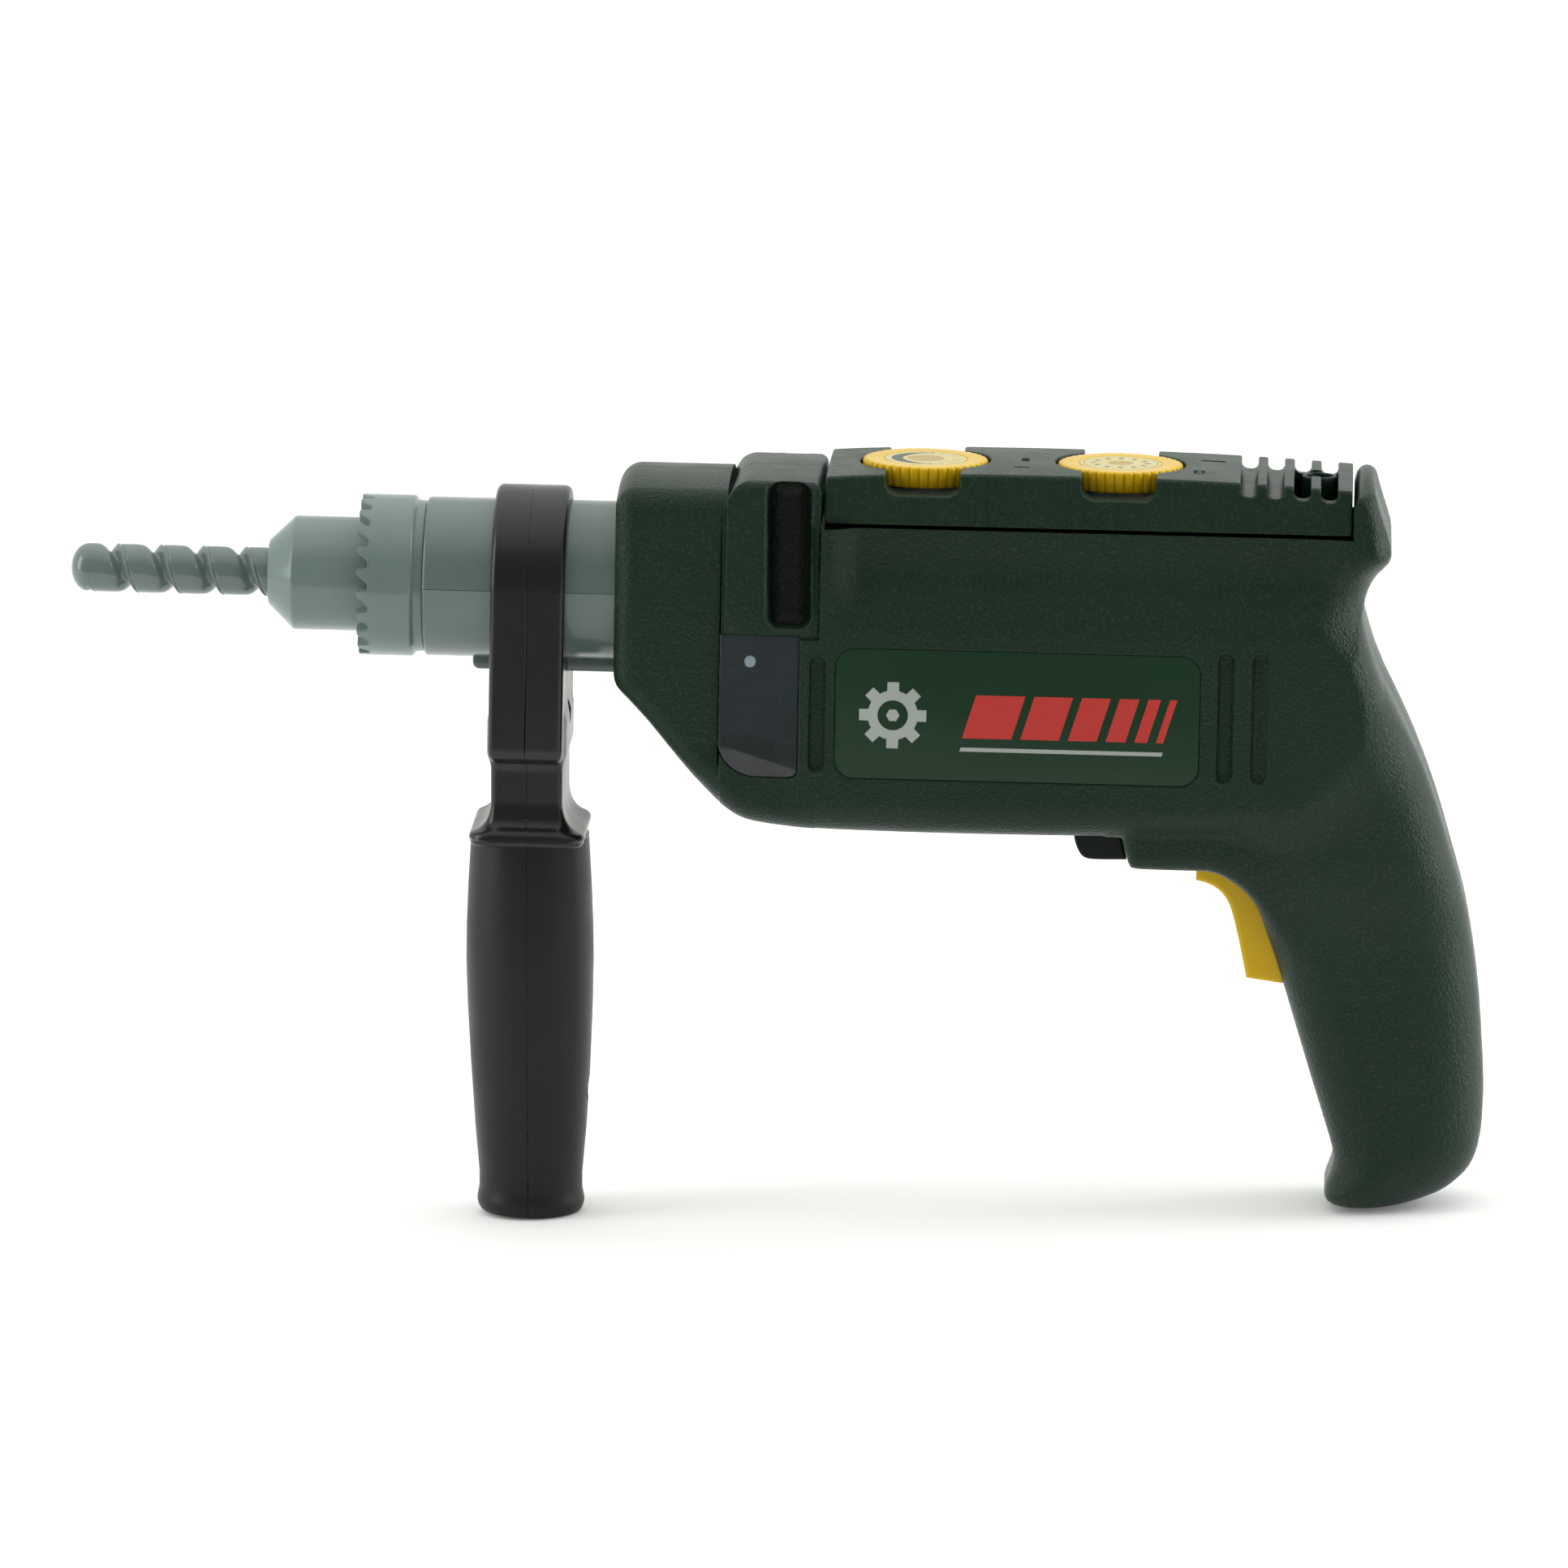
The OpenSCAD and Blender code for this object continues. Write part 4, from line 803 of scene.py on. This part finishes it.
def prism(name, outline, y0, y1, bevel=0.0, seg=3, axis_dir="y"):
    """outline (a, b) in the side view (x, z) between y0 and y1"""
    P = np.asarray(outline, float)
    n = len(P)
    V = np.concatenate([np.stack([P[:, 0], np.full(n, y0), P[:, 1]], 1), np.stack([P[:, 0], np.full(n, y1), P[:, 1]], 1)])
    me = bpy.data.meshes.new(name)
    faces = [tuple(range(n)), tuple(range(2 * n - 1, n - 1, -1))] + [(i, (i + 1) % n + 0, (i + 1) % n + n, i + n) for i in range(n)]
    me.from_pydata((V * MM).tolist(), [], faces)
    import bmesh
    bm = bmesh.new()
    bm.from_mesh(me)
    bmesh.ops.recalc_face_normals(bm, faces=bm.faces)
    bm.to_mesh(me)
    bm.free()
    ob = bpy.data.objects.new(name, me)
    bpy.context.scene.collection.objects.link(ob)
    if bevel:
        m = ob.modifiers.new("edge", "BEVEL")
        m.width = bevel * MM
        m.segments = seg
        m.limit_method = "ANGLE"
        m.angle_limit = math.radians(40)
        apply_modifiers(ob)
    return finish_shading(ob, 35)


def collar():
    prof = arcs([(-80, 6.2), (-80, 18.1, 0.9), (-33.6, 18.1), (-33.6, 18.9, 0.1), (-32, 18.9, 0.1), (-32, 16.1), (-77.5, 16.1), (-77.5, 6.2)])
    def draft(x, r, th):
        # the two halves meet in a faint ridge
        phi = np.minimum(np.abs(th), np.abs(th - math.pi))
        phi = np.minimum(phi, 2 * math.pi - th)
        rr = r - (0.26 * (1 - np.exp(-phi / 0.17)) if r > 17 else 0)
        return np.full(len(th), x), rr + np.zeros(len(th))
    for up in (True, False):
        ob = turned("c", prof, 240, rfun=draft, loop=True)
        cut_at(ob, AX + (0.05 if up else -0.05), up)
        if not up:
            rib = prism("rib", arcs([(-66.0, 127.6), (-69.3, 127.6, 0.8), (-69.3, 124.45, 2.2), (-37.1, 124.45), (-37.1, 127.6)], 6), -2.4, 2.4, 0.5)
            ob = join([ob, rib], "c")
            finish_shading(ob, 30)
        ob.name = "collar_top_half" if up else "collar_bottom_half"
        done(ob, "drill_body", "collar_upper" if up else "collar_lower", "grey_chuck")
        ob.data.materials.clear()
        ob.data.materials.append(GREY)


def chuck():
    n = 22 * 30
    th = np.arange(n) * 2 * math.pi / n
    u = ((th / (2 * math.pi) * 22) % 1 - 0.5) * 2 * math.pi * 18 / 22
    T = np.clip((u + 1.95) / 0.4, 0, 1) * np.clip(1 - (u + 0.55) / 2.3, 0, 1)
    T = T * T * (3 - 2 * T) * 0.35 + T * 0.65
    front = -92.2 - 2.45 * T
    rings = []

    def ring(x, r):
        x = np.broadcast_to(x, th.shape)
        rings.append(np.stack([x, r * np.cos(th), AX + r * np.sin(th)], 1))
    for x, r in [(-81.2, 15.2), (-80.12, 15.2), (-80.12, 16.9), (-82.0, 17.1)] + [tuple(p) for p in arcs([(-82.0, 17.1), (-82.7, 18.1, 0.9), (-92.0, 18.1)], 6)][1:]:
        ring(x, r)
    ring(front + 0.30, 18.1)
    ring(front + 0.12, 18.02)
    ring(front + 0.03, 17.86)
    ring(front, 17.6)
    ring(front, 15.9)
    ring(front + 0.1, 15.6)
    ring(np.minimum(front + 0.25, -92.2), 15.45)
    ring(-92.2, 15.4)
    ring(-92.2, 6.4)
    ring(-89.7, 6.4)
    ring(-89.7, 15.2)
    V, q, t = loft(rings, False, True)
    done(build("toothed_ring", V, q, None, 30), "chuck", "chuck_ring", "grey_chuck", GREY_CHUCK)
    prof = arcs([(-115.4, 4.6), (-115.4, 7.2, 0.9), (-109.6, 12.8, 1.0), (-92.4, 12.8), (-92.4, 10.8), (-108.0, 10.8), (-108.0, 4.6)])
    done(turned("chuck_body", prof, 128, loop=True), "chuck", "chuck_nose", "grey_chuck", GREY_CHUCK)
    # bit
    n, m = ((144, 400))
    th = np.arange(n) * 2 * math.pi / n
    deg = np.degrees(th)
    rings = []
    length = 44.5
    ts = np.concatenate([4.3 * (1 - np.cos(np.linspace(0, math.pi / 2, 26)))[1:], np.linspace(4.3, length, m)[1:]])
    for t in ts:
        env = math.sqrt(max(0.0, 1 - max(0.0, (4.3 - t) / 4.3) ** 2.2))
        d = (deg - 360 * (t - 6.6) / 9.6 + 180) % 360 - 180
        g = np.where(d > 0, 1.5 * np.exp(-(np.abs(d) / 52) ** 2.0), 1.5 * np.exp(-(np.abs(d) / 40) ** 3.0))
        lip = 0.20 * np.exp(-((d + 64) / 9) ** 2) - 0.10 * np.exp(-((d + 84) / 8) ** 2) + 0.05 * np.exp(-((d + 100) / 9) ** 2)
        land = -0.10 * ((np.abs(np.abs(d) - 180)) / 110) ** 2
        fade = float(ss(t, 3.0, 8.0))
        r = 5.45 * env + (-g + lip + land) * fade
        r = np.minimum(r, 5.6)
        rings.append(np.stack([np.full(n, -160 + t), r * np.cos(th), AX + r * np.sin(th)], 1))
    for x, r in ((-115.5, 4.5), (-114.6, 4.3), (-101.2, 4.3)):
        rings.append(np.stack([np.full(n, x), r * np.cos(th), AX + r * np.sin(th)], 1))
    V, q, t = loft(rings, True)
    done(build("spiral_bit", V, q, t, 40), "chuck", "drill_bit", "grey_chuck", GREY_BIT)


# ---------------------------------------------------------------- dials
def dial(i):
    cx = DIALS[i]
    n = 40 * 16
    th = np.arange(n) * 2 * math.pi / n
    lob = np.abs(np.cos(th * 20)) ** 0.55
    rings = []

    def ring(z, r, k, extra=0.0):
        rr = r - 0.62 * (1 - lob) * k
        rings.append(np.stack([cx + rr * np.cos(th), rr * np.sin(th), np.full(n, z)], 1))
    ring(171.4, 2.6, 0)
    ring(169.8, 2.6, 0)
    ring(169.8, 13.3, 0.6)
    ring(170.0, 13.75, 1)
    ring(170.4, 13.98, 1)
    ring(173.3, 14.03, 1)
    ring(174.1, 14.0, 1)
    ring(174.38, 13.86, 1)
    ring(174.54, 13.6, 0.95)
    ring(174.60, 13.2, 0.8)
    ring(174.60, 12.5, 0.45)
    ring(174.60, 11.4, 0.0)
    ring(174.60, 9.75, 0)
    ring(174.56, 9.55, 0)
    ring(174.48, 9.42, 0)
    ring(174.36, 9.4, 0)
    ring(174.34, 8.0, 0)
    V, q, t = loft(rings, False)
    k = np.arange(n)
    k1 = (k + 1) % n
    V = np.concatenate([V, [[cx, 0, 174.34], [cx, 0, 171.4]]])
    last = (len(rings) - 1) * n
    tris = np.concatenate([np.stack([last + k, last + k1, np.full(n, len(V) - 2)], 1), np.stack([k1, k, np.full(n, len(V) - 1)], 1)])
    done(build("knob_front" if i == 0 else "knob_rear", V, q, tris, 32), ("front_dial", "rear_dial")[i], ("front_dial", "rear_dial")[i], "yellow", YELLOW)
    rings = []
    n = 128
    th = np.arange(n) * 2 * math.pi / n
    for z, r in ((174.37, 9.15), (174.50, 9.2), (174.55, 9.12), (174.55, 4.5)):
        rings.append(np.stack([cx + r * np.cos(th), r * np.sin(th), np.full(n, z)], 1))
    V, q, t = loft(rings, True)
    node = ("front_dial_sticker", "rear_dial_sticker")[i]
    done(build(("print_front", "print_rear")[i], V, q, t, 30), ("front_dial", "rear_dial")[i], node, "sticker_face", sticker(i))


def sticker(i):
    t = Tree("printed_disc_%d" % (i + 1))
    x, y, z = t.xyz()
    px = t.math("MULTIPLY", t.math("SUBTRACT", x, DIALS[i] * MM), 1000.0)
    py = t.math("MULTIPLY", y, 1000.0)
    r = t.math("SQRT", t.math("ADD", t.math("MULTIPLY", px, px), t.math("MULTIPLY", py, py)))
    ang = t.math("ARCTAN2", py, px)

    def band(v, a, b, soft=0.06):
        return t.math("MULTIPLY", t.ramp(v, a - soft, a + soft), t.ramp(v, b - soft, b + soft, 1.0, 0.0))
    base = t.mix(t.ramp(t.noise(300, 3), 0.3, 0.7), (0.56, 0.47, 0.20), (0.61, 0.52, 0.235))
    tan = (0.42, 0.29, 0.085)
    grey = (0.055, 0.062, 0.05)
    if i == 0:
        c = t.mix(t.ramp(r, 4.3, 4.1), base, tan)
        # crescent: wide on the left, thinning to the ends
        side_l = t.math("MULTIPLY", t.math("COSINE", ang), -1.0)
        inner = t.math("SUBTRACT", 7.5, t.math("MULTIPLY", t.ramp(side_l, -0.5, 1.0), 2.4))
        cres = t.math("MULTIPLY", t.math("MULTIPLY", t.ramp(t.math("SUBTRACT", r, inner), -0.05, 0.1), t.ramp(r, 7.75, 7.6)), t.ramp(side_l, -0.55, -0.45))
        c = t.mix(cres, c, grey)
        tick = t.math("MULTIPLY", t.ramp(t.math("ABSOLUTE", t.math("SINE", t.math("MULTIPLY", ang, 9.0))), 0.22, 0.12), band(r, 6.3, 8.3))
        c = t.mix(t.math("MULTIPLY", tick, t.ramp(side_l, 0.1, -0.1)), c, grey)
    else:
        c = t.mix(t.ramp(r, 3.0, 2.8), base, tan)
        dots = t.math("MULTIPLY", t.ramp(t.math("ABSOLUTE", t.math("SINE", t.math("MULTIPLY", ang, 6.0))), 0.55, 0.40), band(r, 5.2, 6.7))
        c = t.mix(dots, c, grey)
        c = t.mix(band(r, 8.2, 8.4), c, grey)
    t.set("Base Color", c)
    t.set("Roughness", 0.42)
    t.bump([(t.noise(900, 2), 0.000006)])
    return t.m


# ---------------------------------------------------------------- trigger and slider
def trigger():
    xs, zs, ys, X, Z, Y = grid((93.2, 118.4), (56.9, 92.6), (-6.6, 6.6), 0.36)
    out = curve([(94.2, 84.4, 1), (94.2, 80.9, 1), (96.7, 80.3), (99.4, 78.8), (101.4, 76.4), (102.7, 73.0), (104.1, 67.6), (105.2, 62.6), (106.0, 58.9, 1), (114.2, 57.8, 1),
                 (117.0, 61.0, 1), (113.4, 71.5), (109.4, 79.6), (104.6, 86), (101.6, 91, 1), (96.4, 91, 1), (94.2, 88, 1)], 1.0)
    d2 = np.minimum(poly(out, X[:, :, 0], Z[:, :, 0]), np.hypot(X[:, :, 0] - 99, Z[:, :, 0] - 88) - 3.6)
    f = rext(d2[:, :, None], np.abs(Y) - 5.95, 1.1)
    f = np.maximum(f, 1.62 - np.hypot(X - 99, Z - 88))
    # pocket for the return spring
    f = np.maximum(f, -np.maximum(np.maximum(np.abs(Y) - 3.1, 115.2 - X), Z - 70))
    done(solid("trigger_lever", f, xs, zs, ys, 0.6), "trigger", "trigger", "yellow", YELLOW)


def slider():
    xs, zs, ys, X, Z, Y = grid((65.6, 79.4), (84.9, 98.2), (-9.2, 9.2), 0.26)
    out = curve([(66.5, 92.2, 1), (66.9, 89.6), (67.9, 87.2), (69.0, 86.0), (70.9, 85.6), (78.6, 85.7, 1), (76.9, 92.2, 1)], 0.8)
    f = rext(poly(out, X[:, :, 0], Z[:, :, 0])[:, :, None], np.abs(Y) - 8, 0.55)
    for s in (-5.2, -2.6, 0, 2.6, 5.2):
        f = rmax(f, -(np.hypot(Y - s, Z - 84.9) - 1.0), 0.15)
    f = np.minimum(f, np.maximum(rbox(X, Z, 70.6, 91, 75.4, 97.4, 0.2), np.abs(Y) - 3))
    f = np.minimum(f, np.maximum(rbox(X, Z, 68.8, 95.1, 77.2, 96.4, 0.2), np.abs(Y) - 8.5))
    done(solid("reverse_slider", f, xs, zs, ys, 0.6), "direction_switch", "direction_switch", "black_handle", SWITCH)


# ---------------------------------------------------------------- labels, window
def rounded(x0, z0, x1, z1, r, n=8):
    out = []
    for cx, cz, a0 in ((x1 - r, z0 + r, -90), (x1 - r, z1 - r, 0), (x0 + r, z1 - r, 90), (x0 + r, z0 + r, 180)):
        for k in range(n + 1):
            a = math.radians(a0 + 90 * k / n)
            out.append((cx + r * math.cos(a), cz + r * math.sin(a)))
    return out


def label(sgn):
    y0, y1 = (-24.4, -24.1) if sgn < 0 else (24.1, 24.4)
    name = "side_label_left" if sgn < 0 else "side_label_right"
    objs = [prism(name, rounded(13.2, 106, 94.2, 135.2, 4.3), y0, y1, 0.06, 2)]
    objs[0].data.materials.append(LABEL)
    out = y0 if sgn < 0 else y1
    lift = 0.03 * sgn

    def mark(points, mat, h=1.0):
        a, b = sorted((out - lift, out + lift * h))
        p = np.array(points, float)
        if sgn > 0:
            p = p[::-1]
        o = prism("mark", p, a, b)
        o.data.materials.append(mat)
        objs.append(o)

    def shift(p):
        p = np.array(p, float)
        if sgn > 0:
            p[:, 0] = 107.4 - p[:, 0]
        return p
    # toothed wheel
    cx, cz, teeth = 26.0, 120.4, 8
    wheel = []
    for k in range(teeth):
        a = 2 * math.pi * k / teeth
        for da, r in ((-0.24, 5.6), (-0.17, 7.6), (0.17, 7.6), (0.24, 5.6)):
            wheel.append((cx + r * math.cos(a + da), cz + r * math.sin(a + da)))
        for da in (0.32, 0.39, 0.46):
            wheel.append((cx + 5.6 * math.cos(a + da), cz + 5.6 * math.sin(a + da)))
    mark(shift(wheel), SILVER)
    mark(shift([(cx + 3.4 * math.cos(2 * math.pi * k / 32), cz + 3.4 * math.sin(2 * math.pi * k / 32)) for k in range(32)]), LABEL, 1.25)
    mark(shift([(cx + 1.5 * math.cos(2 * math.pi * k / 6), cz + 1.5 * math.sin(2 * math.pi * k / 6)) for k in range(6)]), SILVER, 1.5)
    # slanted bars
    x = 41.5
    for w, gap in ((11.0, 2.0), (8.6, 2.0), (6.4, 2.0), (4.4, 2.0), (2.8, 2.0), (1.6, 2.0)):
        s = 3.0
        mark(shift([(x, 115.6), (x + w, 115.6), (x + w + s, 125.4), (x + s, 125.4)]), RED)
        x += w + gap
    mark(shift([(41.0, 112.6), (86.0, 112.6), (86.3, 113.5), (41.3, 113.5)]), SILVER)
    ob = join(objs, name)
    ob.name = name
    finish_shading(ob, 30)
    return done(ob, "drill_body", "left_label" if sgn < 0 else "right_label", "label_face")


def window():
    out = np.array(WINDOW)
    c = np.array([-4.0, 121.5])
    P = c + (out - c) * np.array([0.992, 0.996])
    # edges of the ledge behind show through as fine lines
    ob = prism("lamp_window", P, -23.46, -21.95, 0.22, 3)
    done(ob, "drill_body", "gear_window", "smoked", SMOKED)


# ---------------------------------------------------------------- more materials
def smoked():
    t = Tree("smoked_clear")
    n = t.noise(50, 2)
    t.set("Base Color", t.mix(t.ramp(n, 0.3, 0.7), (0.125, 0.17, 0.195), (0.15, 0.195, 0.22)))
    t.set("Roughness", t.ramp(t.noise(90, 3), 0.3, 0.7, 0.05, 0.11))
    t.set("Transmission Weight", 0.92)
    t.set("Specular IOR Level", 0.2)
    t.set("IOR", 1.49)
    t.bump([(t.noise(400, 2), 0.000004)])
    return t.m


SMOKED = smoked()
LABEL = plastic("label_green", (0.0092, 0.0335, 0.0150), rough=0.34, grain=0.000012, size=0.0006, spec=0.2, mottle=0.03)
RED = plastic("label_red", (0.50, 0.026, 0.020), rough=0.34, grain=0.000006, size=0.0006, spec=0.45, mottle=0.04)
SILVER = plastic("label_silver", (0.34, 0.37, 0.35), rough=0.34, grain=0.000008, size=0.0005, spec=0.6, mottle=0.06)


def lamp_tip():
    # the domed tip is bright, the lamp body behind it dark
    t = Tree("lamp_tip")
    tip = t.ramp(t.xyz()[1], -19.0 * MM, -19.3 * MM)
    t.set("Base Color", t.mix(tip, (0.02, 0.022, 0.024), (0.80, 0.80, 0.74)))
    t.set("Roughness", t.ramp(t.noise(300, 2), 0.3, 0.7, 0.25, 0.35))
    t.b.inputs["Emission Color"].default_value = (1, 1, 0.94, 1)
    t.set("Emission Strength", t.math("MULTIPLY", tip, 1.5))
    t.bump([(t.noise(900, 2), 0.000004)])
    return t.m


LAMP = lamp_tip()
STEEL = metal("drawn_steel", (0.55, 0.55, 0.56), 0.28)
ZINC = metal("zinc_plate", (0.50, 0.51, 0.53), 0.34, (30, 30, 30), 0.000015)
BRASS = metal("sintered_brass", (0.60, 0.42, 0.15), 0.36, (60, 60, 60), 0.00002)
ACETAL = plastic("natural_acetal", (0.70, 0.69, 0.62), rough=0.38, grain=0.00001, mottle=0.03, sss=0.1)
FRAME_BLACK = plastic("black_frame", (0.010, 0.010, 0.011), rough=0.5, grain=0.00003, mottle=0.1)
COPPER = metal("enamelled_copper", (0.50, 0.17, 0.06), 0.3, (8, 120, 120), 0.00004)
MAGNET = plastic("ferrite", (0.03, 0.03, 0.032), rough=0.6, grain=0.00004, mottle=0.2)
JACKET = plastic("cell_sleeve", (0.02, 0.06, 0.22), rough=0.25, grain=0.000005, mottle=0.05)
BOARD = plastic("solder_resist", (0.008, 0.085, 0.03), rough=0.3, grain=0.00002, size=0.001, mottle=0.2)
WIRE = plastic("lead_red", (0.30, 0.01, 0.01), rough=0.4, grain=0.000005, mottle=0.05)

top_cover()
side_handle(-1)
side_handle(1)
collar()
chuck()
dial(0)
dial(1)
trigger()
slider()
label(-1)
label(1)
window()
print("pieces", round(time.time() - T0, 1), "s")

INSIDE = {
    "housing_screws": ZINC, "cover_screw": ZINC, "lamp": LAMP, "spindle_shaft": STEEL, "front_bush": BRASS, "rear_bush": BRASS,
    "output_gear": ACETAL, "idler_gear": ACETAL, "idler_axle": STEEL, "motor_pinion": BRASS, "motor_shaft": STEEL,
    "motor_armature": COPPER, "motor_magnets": MAGNET, "motor_can": STEEL, "motor_end_cap": ACETAL,
    "gearbox_front_plate": FRAME_BLACK, "gearbox_rear_plate": FRAME_BLACK, "gearbox_screws": ZINC, "handle_screws": ZINC,
    "trigger_pin": STEEL, "trigger_spring": STEEL, "trigger_switch": FRAME_BLACK, "direction_contact": FRAME_BLACK,
    "battery_tray": FRAME_BLACK, "battery_cells": JACKET, "battery_contacts": STEEL, "circuit_board": BOARD, "speaker": FRAME_BLACK,
    "wiring": WIRE,
}


# ---------------------------------------------------------------- camera, floor, light
def camera():
    cam = bpy.data.cameras.new("camera")
    ob = bpy.data.objects.new("camera", cam)
    bpy.context.scene.collection.objects.link(ob)
    a, e, r = math.radians(2.3), math.radians(10.9), math.radians(1.05)
    B = Vector((math.sin(a) * math.cos(e), -math.cos(a) * math.cos(e), math.sin(e)))
    right = Vector((math.cos(a), math.sin(a), 0))
    up = B.cross(right)
    R = math.cos(r) * right + math.sin(r) * up
    U = -math.sin(r) * right + math.cos(r) * up
    target = Vector((1.081, 0, 99.48)) * MM
    m = Matrix.Identity(4)
    for i, v in enumerate((R, U, B)):
        for j in range(3):
            m[j][i] = v[j]
    pos = target + B * 2.9756
    for j in range(3):
        m[j][3] = pos[j]
    ob.matrix_world = m
    cam.sensor_width = 36
    cam.lens = 16304 / 1932 * 36
    cam.clip_start, cam.clip_end = 0.05, 50
    bpy.context.scene.camera = ob


camera()


def floor():
    n, size = 24, 6.0
    X, Y = np.meshgrid(np.linspace(-size, size, n), np.linspace(-0.47, size, n), indexing="ij")
    # rests against the handle foot and the butt of the grip
    slope = 7.2 / 189.5
    Z = (X * 1000 + 55.5) * slope * MM - 0.0002
    V = np.stack([X, Y, Z], 2).reshape(-1, 3) / MM
    i, j = np.meshgrid(np.arange(n - 1), np.arange(n - 1), indexing="ij")
    i, j = i.ravel(), j.ravel()
    F = np.stack([i * n + j, (i + 1) * n + j, (i + 1) * n + j + 1, i * n + j + 1], 1)
    ob = make_mesh("studio_floor", V, F)
    t = Tree("studio_floor")
    t.set("Base Color", t.mix(t.noise(2, 2), (0.86, 0.86, 0.86), (0.9, 0.9, 0.9)))
    t.set("Roughness", 0.9)
    t.set("Specular IOR Level", 0.1)
    t.b.inputs["Emission Color"].default_value = (1, 1, 1, 1)
    t.set("Emission Strength", 0.10)
    ob.data.materials.append(t.m)


floor()


def light():
    w = bpy.data.worlds.new("studio")
    bpy.context.scene.world = w
    w.use_nodes = True
    t = w.node_tree
    t.nodes.clear()
    out = t.nodes.new("ShaderNodeOutputWorld")
    tc = t.nodes.new("ShaderNodeTexCoord")
    sep = t.nodes.new("ShaderNodeSeparateXYZ")
    t.links.new(tc.outputs["Generated"], sep.inputs[0])

    def ramp(sock, a, b, lo, hi):
        n = t.nodes.new("ShaderNodeMapRange")
        n.interpolation_type = "SMOOTHSTEP"
        t.links.new(sock, n.inputs["Value"])
        for k, v in (("From Min", a), ("From Max", b), ("To Min", lo), ("To Max", hi)):
            n.inputs[k].default_value = v
        return n.outputs["Result"]

    def op(kind, a, b):
        n = t.nodes.new("ShaderNodeMath")
        n.operation = kind
        for s, v in zip(n.inputs, (a, b)):
            if isinstance(v, (int, float)):
                s.default_value = v
            else:
                t.links.new(v, s)
        return n.outputs[0]

    back = ramp(sep.outputs[1], -0.9, 0.15, 0.30, 1.0)
    top = ramp(sep.outputs[2], 0.5, 0.98, 0.0, 0.7)
    level = op("ADD", back, top)
    bg = t.nodes.new("ShaderNodeBackground")
    t.links.new(level, bg.inputs["Strength"])
    bg.inputs["Color"].default_value = (0.975, 1.0, 0.945, 1)
    plain = t.nodes.new("ShaderNodeBackground")
    plain.inputs["Strength"].default_value = 1.0
    lp = t.nodes.new("ShaderNodeLightPath")
    mix = t.nodes.new("ShaderNodeMixShader")
    t.links.new(lp.outputs["Is Camera Ray"], mix.inputs[0])
    t.links.new(bg.outputs[0], mix.inputs[1])
    t.links.new(plain.outputs[0], mix.inputs[2])
    t.links.new(mix.outputs[0], out.inputs[0])


light()


def softbox(name, at, aim, w, h, radiance):
    la = bpy.data.lights.new(name, "AREA")
    la.shape = "RECTANGLE"
    la.size, la.size_y = w, h
    la.energy = radiance * math.pi * w * h
    ob = bpy.data.objects.new(name, la)
    bpy.context.scene.collection.objects.link(ob)
    ob.location = at
    ob.rotation_euler = (Vector(aim) - Vector(at)).to_track_quat("-Z", "Y").to_euler()


softbox("softbox_left", (-1.0, -0.22, 0.42), (0, 0, 0.10), 0.45, 0.8, 3.6)
softbox("softbox_right", (1.0, 0.10, 0.42), (0, 0, 0.10), 0.5, 0.8, 5.4)
bpy.context.scene.view_settings.view_transform = "Standard"

for name, mat in INSIDE.items():
    me = NODES[name].data
    if len(me.materials):
        for k in range(len(me.materials)):
            me.materials[k] = mat
    else:
        me.materials.append(mat)
